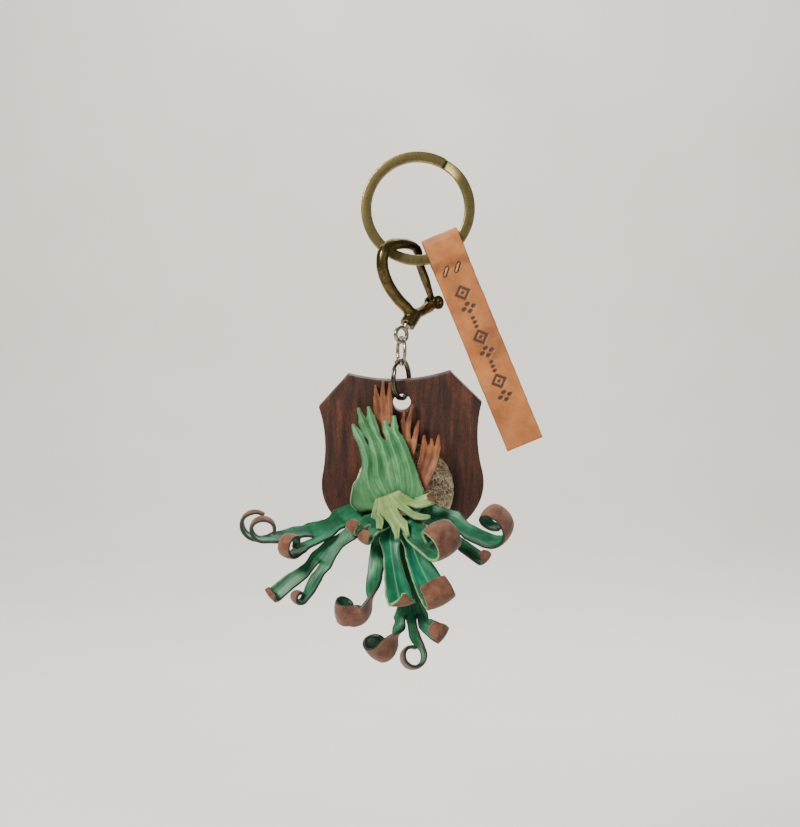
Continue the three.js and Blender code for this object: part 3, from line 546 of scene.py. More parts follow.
# ---------------- metal pieces
def split_ring(name, ring, centre):
    """Two flat coils; the band steps over to the second within ring["step"] degrees."""
    half_band = (ring["outer"] - ring["inner"]) / 2
    section = rounded_box_section(half_band, ring["coil"] / 2, ring["corner"])
    middle = (ring["outer"] + ring["inner"]) / 2
    pitch = ring["coil"] + ring["between"]
    span = 720 - ring["step"] * 0.6
    turn = Matrix.Rotation(math.radians(ring["turned"]), 3, "Z")
    sections = []
    for i in range(ring["steps"] + 1):
        swept = span * i / ring["steps"]
        within = (swept - (360 - ring["step"] * 0.8)) / ring["step"]
        depth = pitch * (smoothstep(within) - 0.5)
        angle = math.radians(ring["start"] + swept)
        out = spoke(ACROSS, UP, angle)
        sections.append(
            [centre + turn @ (out * (middle + x) + Vector((0, depth + y, 0))) for x, y in section]
        )
    thing = loft(name, sections)
    sharp_over(thing, 50)
    return thing


def open_ring(name, ring, centre):
    """A wire ring bent round until its two ends meet at a fine cut."""
    turn = Matrix.Rotation(math.radians(ring["turned"]), 3, "Z")
    half_cut = ring["cut"] / 2 / ring["radius"]
    steps = 96
    path = []
    for i in range(steps + 1):
        swept = lerp(half_cut, 2 * math.pi - half_cut, i / steps)
        angle = math.radians(ring["cut_at"]) + swept
        path.append(centre + turn @ spoke(ACROSS, UP, angle, ring["radius"]))
    thing = tube(name, path, ring["wire"], 16)
    sharp_over(thing, 50)
    return thing


def softened(name, node, voxel, rounds):
    """A cast piece: the CAD solid with its facets and edges melted smooth."""
    thing = placed(name, frame["nodes"][node].data.copy())
    thing.data.materials.clear()
    thing.data.transform(Matrix.Scale(1 / MM, 4))
    with_modifier(thing, "REMESH", mode="VOXEL", voxel_size=voxel, use_smooth_shade=True)
    with_modifier(thing, "SMOOTH", factor=0.5, iterations=rounds)
    baked(thing)
    thing.data.transform(Matrix.Scale(MM, 4))
    return thing


def turned_piece(name, start, direction, profile, sides=32):
    """A turned piece: profile is (distance along, radius) from one end to the other."""
    along = direction.normalized()
    side, other = crossed(along)
    rings = [circle(start + along * far, side, other, radius, sides) for far, radius in profile]
    thing = loft(name, rings)
    sharp_over(thing, 40)
    return thing


def rings():
    ring = split_ring("key_ring_coil", KEY_RING, RING_CENTRE)
    settle(ring, "key_ring", ["key_ring"], [BRASS])
    small = split_ring("small_ring_coil", SMALL_RING, SMALL_CENTRE)
    settle(small, "small_ring", ["small_split_ring"], [DARK_STEEL])
    jump = open_ring("jump_ring_wire", JUMP_RING, JUMP_CENTRE)
    settle(jump, "jump_ring", ["jump_ring"], [STEEL])


def castings():
    casting = softened("hook_casting", "hook_body", 0.14, 6)
    settle(casting, "hook", ["hook_body"], [HOOK_BRASS])
    gate = softened("gate_blade", "hook_gate", 0.1, 4)
    settle(gate, "gate", ["hook_gate"], [HOOK_BRASS])
    eye = softened("swivel_post_and_eye", "swivel_eye", 0.08, 5)
    settle(eye, "swivel", ["swivel_eye"], [STEEL])


def pin_and_spring():
    middle = joint_at("gate_open")
    across = -Vector(JOINTS["gate_open"]["axis"])  # from the spring's side to the other
    rivet = [(0, 0.28), (0.05, 0.4), (0.14, 0.48), (0.28, PIN["radius"])]
    profile = rivet + [(2 * PIN["reach"] - d, r) for d, r in reversed(rivet)]
    pin = turned_piece("gate_pin_riveted", middle - across * PIN["reach"], across, profile)
    settle(pin, "hook", ["gate_pin"], [DARK_STEEL])

    out, up = crossed(across)
    steps_per_turn = 24
    steps = SPRING["turns"] * steps_per_turn
    path = []
    for i in range(steps + 1):
        angle = 2 * math.pi * i / steps_per_turn
        depth = SPRING["start"] + SPRING["length"] * i / steps
        path.append(middle + across * depth + spoke(out, up, angle, SPRING["radius"]))
    spring = tube("gate_spring_coil", path, SPRING["wire"], 8)
    settle(spring, "hook", ["gate_spring"], [STEEL])


# ---------------- leather tag
TAG_FRAME = Matrix.Translation(RING_CENTRE) @ Matrix.Rotation(math.radians(-TAG["lean"]), 4, "Y")


def in_tag(x, y, z):
    return TAG_FRAME @ Vector((x, y, z))


def stamp_diamond(u, v):
    """Distance from a mark's pressed lines, below 0 inside them. So are the two after it."""
    return min(abs(abs(u) + abs(v) * 0.8 - 1.5) * 0.75 - 0.32, math.hypot(u, v) - 0.42)


def stamp_petals(u, v):
    petals = [(1.1, 0), (-1.1, 0), (0, 1.1), (0, -1.1)]
    return min(math.hypot(u - a, v - b) for a, b in petals) - 0.6


def stamp_beads(u, v):
    return min(math.hypot(u, v - b) for b in (-1.35, 0, 1.35)) - 0.5


def stitch_ends(across):
    middle = Vector((TAG["offset"] + across, STITCH["at"]))
    return [middle - STITCH["slant"], middle + STITCH["slant"]]


def pressed_at(x, z):
    """How deep the leather is pressed at a point of the strap's front: 0 to 1."""
    marks = (stamp_diamond, stamp_petals, stamp_beads)
    nearest = round((STAMP["first"] - z) / STAMP["pitch"])
    depth = 0.0
    if 0 <= nearest < STAMP["count"]:
        u = (x - TAG["offset"]) / STAMP["stretch"]
        v = z - (STAMP["first"] - nearest * STAMP["pitch"])
        depth = 1 - smoothstep(marks[nearest % len(marks)](u, v), -0.12, 0.12)
    for across in STITCH["across"]:
        a, b = stitch_ends(across)
        line = b - a
        spot = Vector((x, z)) - a
        t = min(max(spot.dot(line) / line.length_squared, 0), 1)
        away = (spot - line * t).length
        depth = max(depth, 1 - smoothstep(away, 0.45, 0.75))
    return depth


def tag_path():
    """The strap's middle line as (depth, height), up the front, over the fold and down."""
    t = TAG["leather"]
    flat, bulged = t / 2, FOLD["inside"] + t / 2
    front = []
    z = -TAG["length"]
    fold_centre = FOLD["top"] - FOLD["inside"]
    while z < fold_centre:
        open_up = smoothstep(z, FOLD["closed"] - 1.6, FOLD["straight"])
        front.append((-lerp(flat, bulged, open_up), z))
        z += 0.17 if z > -72 else 0.25  # fine enough for the marks to show
    arc = []
    for i in range(25):
        angle = math.pi * (1 - i / 24)
        arc.append((bulged * math.cos(angle), fold_centre + bulged * math.sin(angle)))
    back = [(-y, z) for y, z in reversed(front[::4])]
    return front + arc + back


def tag_section():
    """Points round the strap's section, as (across, outwards): finest along its outer side."""
    t, half, corner = TAG["leather"] / 2, TAG["width"] / 2, TAG["corner"]
    flat = half - corner
    outer, inner = 72, 12  # steps along the two sides
    ring = [(lerp(flat, -flat, i / outer), t) for i in range(outer + 1)]
    for k, (sx, sy) in enumerate([(-1, 1), (-1, -1), (1, -1), (1, 1)]):
        for i in range(1, 4):
            angle = math.radians(90 + 90 * k + 30 * i)
            x = sx * flat + corner * math.cos(angle)
            ring.append((x, sy * (t - corner) + corner * math.sin(angle)))
        if k == 1:
            ring += [(lerp(-flat, flat, i / inner), -t) for i in range(1, inner)]
    return ring[:-1]


def tag_strap():
    t, flat = TAG["leather"] / 2, TAG["width"] / 2 - TAG["corner"]
    ring = tag_section()
    path = tag_path()
    sections, pressed, rim = [], [], []
    last = len(path) - 1
    for row, (y, z) in enumerate(path):
        before, after = path[max(row - 1, 0)], path[min(row + 1, last)]
        along = (Vector(after) - Vector(before)).normalized()
        out = Vector((-along.y, along.x))
        shy = {0: 0.14, 1: 0.05}.get(min(row, last - row), 0)  # the cut ends are rounded
        on_front = y < 0 and z < FOLD["straight"]
        section = []
        for x, off in ring:
            side = abs(x) > flat - 0.01
            depth = pressed_at(x + TAG["offset"], z) if on_front and off == t else 0
            wave = 0.09 * noise.noise(Vector((x * 0.3, z * 0.22, y)))
            edge = 0.1 * noise.noise(Vector((0.4 * z, 3, x))) if side else 0
            lift = off * (1 - shy / t) - STAMP["deep"] * depth + (wave if off > 0 else 0)
            spot = Vector((y, z)) + out * lift
            section.append(in_tag(x + TAG["offset"] + edge, spot.x, spot.y))
            pressed.append(depth)
            rim.append(0.55 if side and abs(off) < t else 0)
        sections.append(section)
    thing = loft("tag_leather_strap", sections)
    give_attribute(thing, "pressed", pressed)
    give_attribute(thing, "rim", rim)
    settle(thing, "tag", ["tag_strap"], [TAN])


def tag_stitch(number, across):
    """One stitch: two plies twisted together, through the strap and back."""
    reach = TAG["leather"] + STITCH["thread"] * 0.55
    ends = stitch_ends(across)
    corners = [(ends[0], -reach), (ends[1], -reach), (ends[1], reach), (ends[0], reach)]
    spots = [in_tag(p.x, y, p.y) for p, y in corners]
    path, per_side, rounding = [], 20, 0.16
    for i in range(4):
        before, here, after = spots[i - 1], spots[i], spots[(i + 1) % 4]
        start, stop = here.lerp(before, rounding), here.lerp(after, rounding)
        path += [start] + bezier([start, here, stop], 4)
        end = after.lerp(here, rounding)
        path += [stop.lerp(end, k / per_side) for k in range(1, per_side)]
    twists, ply_radius, ply_offset = 9, 0.2, 0.17
    for ply in range(2):
        strand = []
        for i, (spot, along) in enumerate(zip(path, tangents(path, looped=True))):
            side = along.cross(Vector((0.3, 1, 0.2))).normalized()
            angle = 2 * math.pi * (ply / 2 + twists * i / len(path))
            strand.append(spot + spoke(side, along.cross(side), angle, ply_offset))
        thread = tube(f"stitch_{number}_ply_{ply + 1}", strand, ply_radius, 8, looped=True)
        replaced = [] if ply else [f"tag_stitch_{number}"]
        settle(thread, "tag", replaced, [THREAD])


# ---------------- plaque and moss
PLAQUE_TURNED = Euler((math.radians(PLAQUE["lean"]), math.radians(PLAQUE["roll"]), 0), "ZYX")
PLAQUE_FRAME = Matrix.Translation(SMALL_CENTRE) @ PLAQUE_TURNED.to_matrix().to_4x4()


def plaque_outline():
    """The shield seen from the front, with its hole's height as 0."""
    top, shoulder, waist, belly = (14.7, 8.75), (23.6, -0.6), (20.9, -10), (23.4, -21)
    flank, hip, heel, toe, tip = (25.2, -30), (19.5, -36.2), (12.5, -40.4), (5, -44.6), (0, -49)
    right_side = (
        bezier([top, shoulder], 6)
        + bezier([shoulder, waist, belly], 24)
        + bezier([belly, flank, hip, heel], 24)
        + bezier([heel, toe, tip], 12)
    )
    left_side = [Vector((-spot.x, spot.y)) for spot in reversed(right_side[:-1])]
    left_top = Vector((-top[0], top[1]))
    outline = [left_top] + bezier([left_top, (0, 4.4), top], 28) + right_side + left_side
    return [spot + Vector((PLAQUE["centre"], 0)) for spot in outline]


def walnut_plaque():
    shape = bpy.data.curves.new("plaque_outline", "CURVE")
    shape.dimensions = "2D"
    shape.fill_mode = "BOTH"
    hole = circle(Vector((0, 0)), Vector((1, 0)), Vector((0, 1)), PLAQUE["hole"], 48)
    for outline in (list(reversed(plaque_outline())), hole):
        spline = shape.splines.new("POLY")
        spline.points.add(len(outline) - 1)
        for point, place in zip(spline.points, outline):
            point.co = (place.x, place.y, 0, 1)
        spline.use_cyclic_u = True
    shape.extrude = PLAQUE["thick"] / 2 - PLAQUE["bevel"]
    shape.bevel_depth = PLAQUE["bevel"]
    shape.bevel_resolution = 4
    shape.offset = -PLAQUE["bevel"]
    drawn = placed("plaque_drawn", shape)
    graph = bpy.context.evaluated_depsgraph_get()
    mesh = bpy.data.meshes.new_from_object(drawn.evaluated_get(graph))
    bpy.data.objects.remove(drawn)
    thing = placed("plaque_walnut", mesh)
    stand = Matrix.Translation((0, 0, PLAQUE_HOLE)) @ Matrix.Rotation(math.pi / 2, 4, "X")
    mesh.transform(Matrix.Scale(MM, 4) @ PLAQUE_FRAME @ stand)
    with_modifier(thing, "WELD", merge_threshold=0.01 * MM)
    baked(thing)
    thing.data.shade_smooth()
    sharp_over(thing, 35)
    settle(thing, "plaque", ["plaque"], [WALNUT])


def dome_point(turn, rise, grow=1.0):
    """A point of the moss dome: turn round it, and rise from its rim (0) to its crown (90)."""
    up, angle = math.radians(rise), math.radians(turn)
    reach = MOSS["radius"] * max(math.cos(up), 0) ** 0.8 * grow
    front = -PLAQUE["thick"] / 2 - MOSS["gap"] - MOSS["height"] * math.sin(up) * grow
    height = PLAQUE_HOLE - MOSS["below"] + reach * math.sin(angle)
    return PLAQUE_FRAME @ Vector((reach * math.cos(angle), front, height))


def moss_bed():
    rows, columns = 24, 96
    sections = []
    for row in range(rows):
        rise = 88 * row / (rows - 1)
        section = []
        for i in range(columns):
            turn = 360 * i / columns
            base = dome_point(turn, rise)
            lump = noise.noise(base * 0.55) + 0.5 * noise.noise(base * 1.6)
            section.append(dome_point(turn, rise, 0.93 + 0.05 * lump))
        sections.append(section)
    thing = loft("moss_pad_bed", sections)
    settle(thing, "plaque", ["moss_pad"], [MOSS_BED])


def moss_fibres():
    """Loose curling fibres over the dome, joined into one piece."""
    dice = random.Random(7)
    points, faces = [], []
    sides, steps = 4, 9
    for _ in range(1500):
        turn, rise = dice.uniform(0, 360), dice.uniform(2, 70) * dice.uniform(0.3, 1)
        heading = dice.uniform(0, 2 * math.pi)
        bend = dice.uniform(-0.5, 0.5)
        thick = dice.uniform(0.07, 0.16)
        path = []
        for i in range(steps):
            hop = math.sin(math.pi * i / (steps - 1))
            path.append(dome_point(turn, rise, 0.955 + 0.035 * hop * dice.uniform(0.7, 1)))
            turn += 2.6 * math.cos(heading)
            rise = max(rise + 3.2 * math.sin(heading), 1)
            heading += bend
        for i, (spot, along) in enumerate(zip(path, tangents(path))):
            tapered = thick * (1 - 0.6 * (2 * i / (steps - 1) - 1) ** 2)
            points += circle(spot, *crossed(along), tapered, sides)
        first = len(points) - sides * steps
        for face in strip_faces(steps, sides):
            faces.append(tuple(first + i for i in face))
        faces.append(tuple(first + i for i in reversed(range(sides))))
        faces.append(tuple(first + sides * (steps - 1) + i for i in range(sides)))
    thing = new_mesh("moss_pad_fibres", points, faces)
    settle(thing, "plaque", [], [MOSS_FIBRE])


# ---------------- leather fronds
# A frond is one piece of leather that splits into narrower straps. Each strap has points
# [x, y, z, width] in millimetres from the fern's root, may end in a curl, and may split again.
# The straps of a split are listed from left to right for someone walking along the green
# side towards the tips. face is the direction that the green side looks in. A frond's first
# strap also has a root, and it has two faces, at its root and at its end.
CROSS = 10  # columns across each last strap
STEPS = 9  # rows between two points
CURL_STEP = 9  # degrees of curl between two rows
SLIT = 0.2  # share of a strap's width cut away beside a slit
ROUND = 4  # rows round an edge
BULGE = 0.14  # how far an edge stands out between its corners

def leather(*points, **more):
    """One strap: its points, and its root, face, curl and split where it has them."""
    return {"points": points, **more}


FRONDS = {
  "green_shield_frond": ("sage", leather(
    [-2.5, -3.2, 1, 21], [-2.4, -3.4, 4.6, 20.2], [-2.3, -3.2, 8.4, 16.6], [-2.9, -2.8, 13, 13.8],
    [-4.3, -2, 17.6, 12.6],
    root=[-2.5, -2, -1.2, 17], face=[[0, -1, 0.1], [-0.1, -1, 0.2]],
    split=[
      leather([-10.8, -0.8, 19.6, 2.4], [-12.6, 0.5, 23, 0.6]),
      leather(
        [-7.2, -0.8, 21, 4.6], [-8.6, -0.4, 24.4, 4.8],
        split=[leather([-11, 0.5, 27.6, 0.6]), leather([-8.1, 0.5, 28, 0.6])],
      ),
      leather(
        [-1.8, -0.9, 21.6, 4.6],
        split=[leather([-3.4, -0.3, 24, 1]), leather([-0.8, -0.3, 25.4, 0.9])],
      ),
    ],
  )),
  "brown_shield_frond_top": ("brown", leather(
    [-3.5, -0.2, 15, 5], [-3.8, 1.8, 22, 5.2], [-4, 2.4, 30.8, 5.4],
    root=[-3, -1.2, 6, 4.5], face=[[0, -1, 0.1], [0, -1, 0.1]],
    split=[
      leather([-6.1, 1.7, 34.2, 0.5]),
      leather([-3.9, 1.7, 35.4, 0.6]),
      leather([-1.9, 1.7, 34.8, 0.5]),
    ],
  )),
  "brown_shield_frond_middle": ("brown", leather(
    [2.7, -0.7, 14, 4.5], [3.4, 1.6, 18.5, 5],
    root=[2.2, -1.6, 6, 3.5], face=[[0, -1, 0.1], [0, -1, 0.1]],
    split=[
      leather(
        [2.6, 2.4, 23.5, 3],
        split=[leather([2.2, 2.5, 27, 0.5]), leather([4.6, 2.5, 28.8, 0.5])],
      ),
      leather([5.8, 2.4, 21.6, 1.5], [6.4, 2, 24, 0.5]),
    ],
  )),
  "brown_shield_frond_right": ("brown", leather(
    [7, -2.2, 7, 4.5], [9, -1.2, 12.5, 5.4], [9.8, 1.2, 16.4, 5.6],
    root=[5.3, -2.2, 2, 3.5], face=[[0, -1, 0.1], [0, -1, 0.1]],
    split=[
      leather([7.8, 2.6, 19.8, 0.5]),
      leather([10, 2.6, 18.8, 0.5]),
      leather([12.1, 2.6, 20, 0.5]),
    ],
  )),
  "young_front_frond": ("young", leather(
    [-1.2, -6.4, -0.8, 13],
    root=[-2.8, -5, 2.8, 7], face=[[0, -0.9, 0.4], [0, -0.8, 0.6]],
    split=[
      leather([5.6, -7.4, 1, 3], [9.4, -8.6, 2.2, 3.4], curl=dict(turn=200, radius=1.5)),
      leather([5.4, -8, -2.6, 2], [9.4, -8.6, -2.8, 0.8]),
      leather([1, -8.6, -5.6, 5], split=[leather([3.2, -11, -8, 0.9]), leather([0.2, -10.2, -8.8, 1])]),
      leather([-4.8, -8.6, -3.6, 2], [-4.8, -9.8, -6, 1.6]),
    ],
  )),
  "small_front_frond": ("green", leather(
    [-7.2, -7, -5.4, 7],
    root=[-3, -3.8, -3.8, 5], face=[[0, -1, 0.3], [-0.2, -0.8, 0.6]],
    split=[
      leather([-8, -9.4, -8.8, 3], curl=dict(turn=230, radius=2.2, tip=0.8)),
      leather([-11.6, -8.8, -6.6, 3], curl=dict(turn=240, radius=2.2, tip=0.8)),
    ],
  )),
  "left_frond": ("green", leather(
    [-10.5, -2, -3, 8], [-14.6, -4.4, -5.4, 11],
    root=[-5.5, 0.2, -1.5, 5.5], face=[[0, -1, 0.2], [0, -0.85, 0.5]],
    split=[
      leather(
        [-18, -6.8, -11.4, 5], [-21.2, -8.4, -15.2, 6.8],
        split=[
          leather(
            [-22.2, -10, -19.5, 3.4], [-24, -11, -23, 3.6], [-25.5, -11.5, -25.5, 3.6],
            face=[-0.75, -0.45, 0.45], curl=dict(turn=300, radius=2.1),
          ),
          leather(
            [-25.8, -9.4, -18, 3.6], [-30, -10, -21, 4.2], [-33, -10.4, -23.6, 4.4],
            curl=dict(turn=175, radius=2.5, tip=0.7),
          ),
        ],
      ),
      leather(
        [-19.6, -6.4, -6.4, 6], [-23.6, -8, -7.8, 7],
        split=[
          leather(
            [-26.4, -11, -11.4, 3.4], [-28.4, -13.4, -13, 3.6],
            face=[-0.1, -0.4, 0.9], curl=dict(turn=330, radius=3.6, tight=2.2),
          ),
          leather(
            [-28.2, -8.6, -7.4, 4.2], [-31.8, -9.5, -8.4, 4.6], [-34.6, -10, -8.8, 5],
            face=[0.1, -0.4, 0.9],
            split=[
              leather([-36.6, -11.2, -9.2, 2.3], curl=dict(turn=300, radius=3.8, tight=3)),
              leather([-36.8, -8.4, -8.8, 2.3], curl=dict(turn=240, radius=4.8, tight=4)),
            ],
          ),
        ],
      ),
    ],
  )),
  "lower_left_frond": ("green", leather(
    [-5, -2.8, -11, 4.2], [-6, -6.5, -19, 4.6], [-6.8, -9.5, -25, 6.6], [-9.2, -10.5, -30, 7.4],
    [-13.4, -11, -30.4, 6.4],
    root=[-4, -1.5, -5.6, 3.2], face=[[0.1, -1, 0.2], [-0.6, 0.7, 0.35]],
    curl=dict(turn=270, radius=3.4, tight=2),
  )),
  "middle_frond": ("green", leather(
    [1, -5, -9.5, 12],
    root=[0.5, -1.2, -3.5, 7], face=[[0, -1, 0.3], [0, -1, 0.2]],
    split=[
      leather(
        [5.2, -6.4, -13.6, 5.6], [8, -8.4, -19.6, 7.5], [10.2, -9.6, -23.8, 8.4],
        face=[0.2, -1, 0], curl=dict(turn=215, radius=4.6, tight=4, tip=0.9),
      ),
      leather(
        [-1.1, -7.8, -16.5, 5.2], [0.2, -9.6, -23.8, 7],
        face=[0.25, -0.95, 0], curl=dict(turn=165, radius=4.2, tight=3.4, tip=0.15),
      ),
    ],
  )),
  "hanging_frond": ("green", leather(
    [2.5, -1.5, -15.5, 5], [3.5, -4, -27, 6], [4, -5, -31, 9.5],
    root=[1.5, -0.5, -4.5, 4.5], face=[[0, -1, 0.1], [0, -1, 0.1]],
    split=[
      leather([8, -6.4, -33, 4], [11, -7.4, -35, 5], curl=dict(turn=250, radius=3.2)),
      leather(
        [5, -6.4, -36, 3.2], [7.4, -7, -40, 4],
        face=[-0.95, -0.2, 0.2], curl=dict(turn=330, radius=3.8, tight=2.6),
      ),
      leather(
        [0.8, -6, -33.8, 3.6], [0, -7.4, -36.8, 6.2], [-2.4, -8.4, -40, 7],
        face=[-0.6, 0.7, 0.2], curl=dict(turn=270, radius=4, tight=2.4),
      ),
    ],
  )),
  "right_frond": ("green", leather(
    [10, -1.8, -3, 6], [15, -4.2, -5.6, 10],
    root=[5.4, -0.3, -2.5, 5], face=[[0, -1, 0.4], [0, -0.9, 0.5]],
    split=[
      leather(
        [20.5, -6.4, -7.4, 5], [25, -8, -9.6, 5.5],
        face=[-0.1, -0.55, 0.83], curl=dict(turn=400, radius=6, tight=3, drift=-4),
      ),
      leather(
        [19, -7, -11.4, 3.6], [23.5, -9, -14.6, 3.8],
        face=[0, -0.7, 0.7], curl=dict(turn=230, radius=1.9),
      ),
    ],
  )),
  "front_right_frond": ("green", leather(
    [6, -9.5, -8, 7], [11, -13.5, -12, 8],
    root=[3.4, -4.6, -5.5, 5], face=[[0, -0.9, 0.4], [-0.07, -0.5, 0.75]],
    curl=dict(turn=320, radius=5.4, tight=3.8),
  )),
}

LOOKS = {
    "green": ("green_leather", EMERALD, DARK_EDGE, 0.0),
    "sage": ("sage_leather", SAGE, LIGHT_EDGE, 0.75),
    "young": ("young_leather", YOUNG, LIGHT_EDGE, 0.4),
    "brown": ("brown_leather", DRY, BROWN_EDGE, 0.3),
}
GATHER = {"at": 0.66, "share": 0.8, "reach": 12}  # where the creases of the shields meet


def columns_of(strap):
    return sum(columns_of(child) for child in strap["split"]) if "split" in strap else CROSS


class Sheet:
    """A frond's middle surface, row by row, before it is given its thickness."""

    def __init__(self, pleat, gathered):
        self.points, self.faces = [], []
        self.strand, self.along = [], []
        self.pleat = pleat
        self.gathered = gathered

    def row(self, centre, side, face, width, columns, first, along):
        made = []
        pull = GATHER["share"] * (1 - smoothstep(along, 0, GATHER["reach"])) * self.gathered
        for i in range(columns + 1):
            u = i / columns
            across = u + (GATHER["at"] - u) * pull * math.sqrt(4 * u * (1 - u)) - 0.5
            strand = (first + i) / CROSS
            fold = self.pleat * (0.5 - abs(2 * (strand % 1) - 1)) * smoothstep(along, 3, 11)
            lift = 0.3 * width * across * across + fold * min(width / columns * CROSS / 3, 1)
            edge = abs(across) * 2
            ragged = 0.16 * edge ** 4 * noise.noise(centre * 0.45 + Vector((0, 0, 9 * across)))
            made.append(len(self.points))
            self.points.append(centre + side * (across * width + ragged) + face * lift)
            self.strand.append(strand)
            self.along.append(along)
        return made

    def join(self, before, after):
        for i in range(len(before) - 1):
            self.faces.append((before[i], before[i + 1], after[i + 1], after[i]))

    def grow(self, strap, first_row, start_along, start_face, first, travelled, slit=0):
        columns = columns_of(strap)
        ends = [self.points[i] for i in (first_row[0], first_row[-1])]
        start = (ends[0] + ends[1]) / 2
        curve = Curve([start] + [p[:3] for p in strap["points"]])
        widths = [(ends[0] - ends[1]).length] + [p[3] for p in strap["points"]]
        end_face = Vector(strap["face"]) if "face" in strap else start_face
        rows = STEPS * len(strap["points"])
        row, centre = first_row, start
        for i in range(1, rows + 1):
            u = i / rows
            turned = min(i / STEPS, 1)
            along = start_along.lerp(curve.tangent(u), turned).normalized()
            face = start_face.lerp(end_face, u)
            face = (face - along * face.dot(along)).normalized()
            side = along.cross(face)
            before, centre = centre, curve.point(u)
            travelled += (centre - before).length
            width = eased(widths, u) * (1 - slit * math.sin(math.pi * turned))
            made = self.row(centre, side, face, width, columns, first, travelled)
            self.join(row, made)
            row = made
        if "curl" in strap:
            curl = strap["curl"]
            row = self.roll(curl, centre, along, face, side, width, row, first, travelled)
        start_column = 0
        for child in strap.get("split", []):
            last = start_column + columns_of(child)
            piece = row[start_column : last + 1]
            self.grow(child, piece, along, face, first + start_column, travelled, SLIT)
            start_column = last

    def roll(self, curl, centre, along, face, side, wide, row, first, travelled):
        """Rolls a strap's end towards its green side, tighter as it turns."""
        radius = curl["radius"]
        tight = curl.get("tight", radius * 0.55)
        rows = math.ceil(curl["turn"] / CURL_STEP)
        step = math.radians(curl["turn"]) / rows
        half_turn = Quaternion(side, step / 2)
        whole_turn = Quaternion(side, step)
        columns = len(row) - 1
        for i in range(1, rows + 1):
            u = i / rows
            advance = step * lerp(radius, tight, u)
            centre = centre + (half_turn @ along) * advance + side * (curl.get("drift", 0) / rows)
            along, face = whole_turn @ along, whole_turn @ face
            travelled += advance
            width = wide * lerp(1, curl.get("tip", 0.5), smoothstep(u, 0.55, 1))
            made = self.row(centre, side, face, width, columns, first, travelled)
            self.join(row, made)
            row = made
        return row


def thick_frond(name, sheet):
    """Both faces of a sheet and a rounded edge: the faces' materials are 0, 1 and 2."""
    count = len(sheet.points)
    normals = [Vector() for _ in range(count)]
    edges = {}
    for face in sheet.faces:
        a, b, c, d = (sheet.points[i] for i in face)
        normal = (c - a).cross(d - b)
        for k, i in enumerate(face):
            normals[i] += normal
            after = face[(k + 1) % 4]
            if (after, i) in edges:
                del edges[(after, i)]
            else:
                edges[(i, after)] = True
    normals = [n.normalized() for n in normals]
    outward = {}
    for a, b in edges:
        out = (sheet.points[b] - sheet.points[a]).cross(normals[a]).normalized()
        for i in (a, b):
            outward[i] = outward.get(i, Vector()) + out
    half = LEATHER / 2
    points = [p + n * s for s in (half, -half) for p, n in zip(sheet.points, normals)]
    origin = list(range(count)) * 2
    faces = list(sheet.faces) + [tuple(i + count for i in reversed(f)) for f in sheet.faces]
    kinds = [0] * len(sheet.faces) + [1] * len(sheet.faces)
    rounds = {}
    for i, out in outward.items():
        out = out.normalized()
        ring = [i]
        for k in range(1, ROUND):
            angle = math.pi * k / ROUND
            ring.append(len(points))
            offset = normals[i] * (half * math.cos(angle)) + out * (BULGE * math.sin(angle))
            points.append(sheet.points[i] + offset)
            origin.append(i)
        rounds[i] = ring + [i + count]
    for a, b in edges:
        for k in range(ROUND):
            faces.append((rounds[b][k], rounds[a][k], rounds[a][k + 1], rounds[b][k + 1]))
            kinds.append(2)
    thing = new_mesh(name, [FERN_ROOT + p for p in points], faces)
    thing.data.polygons.foreach_set("material_index", kinds)
    give_attribute(thing, "strand", [sheet.strand[i] for i in origin])
    give_attribute(thing, "middle", [2 * (sheet.strand[i] % 1) - 1 for i in origin])
    give_attribute(thing, "along", [sheet.along[i] for i in origin])
    give_attribute(thing, "rim", [1.0 if i in outward else 0.0 for i in origin])
    return thing


def leather_frond(node, kind, shape):
    slot, top, edge, pleat = LOOKS[kind]
    if node == "middle_frond":
        top, edge = EMERALD_RIBBED, LIGHT_EDGE
    if node in ("front_right_frond", "small_front_frond"):
        edge = LIGHT_EDGE
    sheet = Sheet(pleat, gathered=kind == "sage")
    start = Vector(shape["root"][:3])
    face = Vector(shape["face"][0]).normalized()
    along = (Vector(shape["points"][0][:3]) - start).normalized()
    side = along.cross(face).normalized()
    trunk = {**shape, "face": shape["face"][1]}
    first = sheet.row(start, side, face, shape["root"][3], columns_of(trunk), 0, 0.0)
    sheet.grow(trunk, first, along, face, 0, 0.0)
    thing = thick_frond(f"{node}_leather", sheet)
    settle(thing, "plaque", [node], [top, SUEDE, edge])


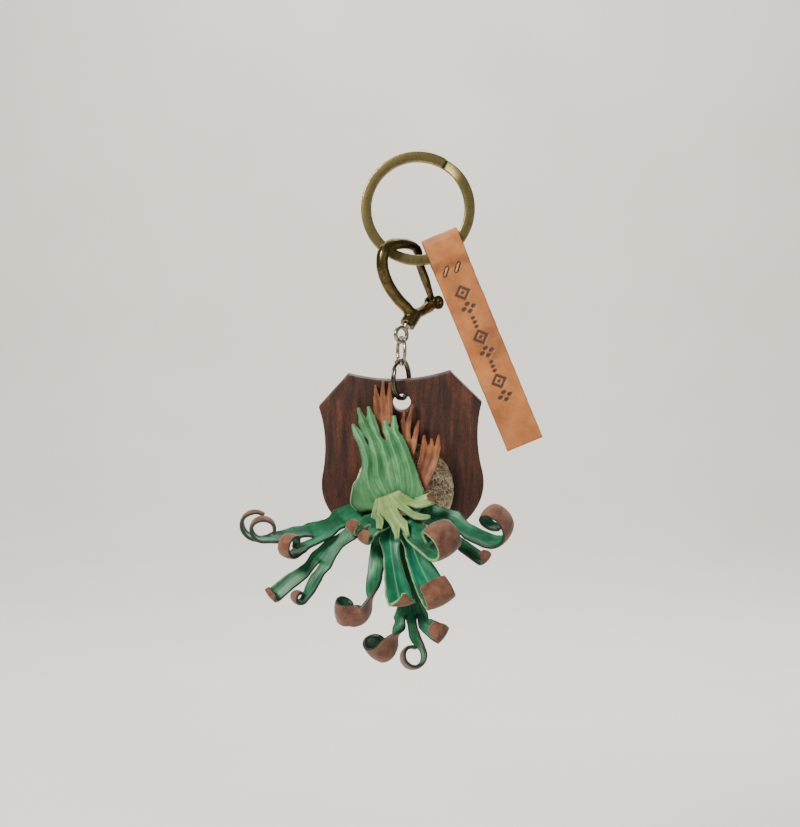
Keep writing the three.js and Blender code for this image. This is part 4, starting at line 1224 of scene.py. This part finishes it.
# ---------------- stage, camera and light
def studio():
    scene = bpy.context.scene
    aim = Vector((-5.2, 0, -72.9)) * MM
    distance, seen_across = 0.4, 0.232
    camera = placed("camera", bpy.data.cameras.new("camera"))
    camera.location = aim + Vector((0, -distance, 0))
    camera.rotation_euler = (math.pi / 2, 0, 0)
    camera.data.sensor_width = 36
    camera.data.sensor_fit = "HORIZONTAL"
    camera.data.lens = 36 * distance / seen_across
    camera.data.clip_start = 0.01
    scene.camera = camera

    def area(name, place, target, size, power, colour):
        light = bpy.data.lights.new(name, "AREA")
        light.shape = "DISK"
        light.size = size
        light.energy = power
        light.color = colour
        lamp = placed(name, light)
        lamp.location = place
        lamp.rotation_euler = (Vector(place) - Vector(target)).to_track_quat("Z", "Y").to_euler()

    area("key", (-0.42, -0.6, 0.38), aim, 0.25, 14, (1.0, 0.92, 0.8))
    area("fill", (0.6, -0.7, 0.0), aim, 0.8, 1.4, (1.0, 0.97, 0.93))
    area("rim", (0.3, 0.7, 0.5), aim, 0.6, 4, (0.95, 0.97, 1.0))
    area("backdrop", (0, 0.5, 1.1), (0, 1.6, -0.1), 1.2, 30, (1.0, 0.97, 0.92))

    world = bpy.data.worlds.new("studio")
    scene.world = world
    world.use_nodes = True
    sky = world.node_tree.nodes["Background"].inputs
    sky["Color"].default_value = (0.74, 0.73, 0.69, 1)
    sky["Strength"].default_value = 0.32

    # Metres back from the object and up from the floor, which rises behind in a curve.
    profile = [(-3, 0), (0.9, 0), (1.25, 0.06), (1.5, 0.22), (1.6, 0.5), (1.6, 3)]
    low, half_wide = -0.28, 3
    points = []
    for y, z in profile:
        points += [Vector((x, y, low + z)) / MM for x in (-half_wide, half_wide)]
    faces = [(2 * i, 2 * i + 1, 2 * i + 3, 2 * i + 2) for i in range(len(profile) - 1)]
    floor = new_mesh("studio_floor", points, faces)
    with_modifier(floor, "SUBSURF", levels=3, render_levels=3)
    paint = Shader("studio_paper")
    tone = paint.noise(paint.place((0.001, 0.001, 0.001)), 6, 2)
    paint.set(Base_Color=paint.ramp(tone, [(0.3, (0.74, 0.72, 0.67)), (0.7, (0.78, 0.76, 0.71))]))
    paint.set(Roughness=0.9)
    floor.data.materials.append(paint.material)


# ---------------- everything
studio()
rings()
castings()
pin_and_spring()
tag_strap()
for number, across in enumerate(STITCH["across"], 1):
    tag_stitch(number, across)
walnut_plaque()
moss_bed()
moss_fibres()
for node, (kind, shape) in FRONDS.items():
    leather_frond(node, kind, shape)
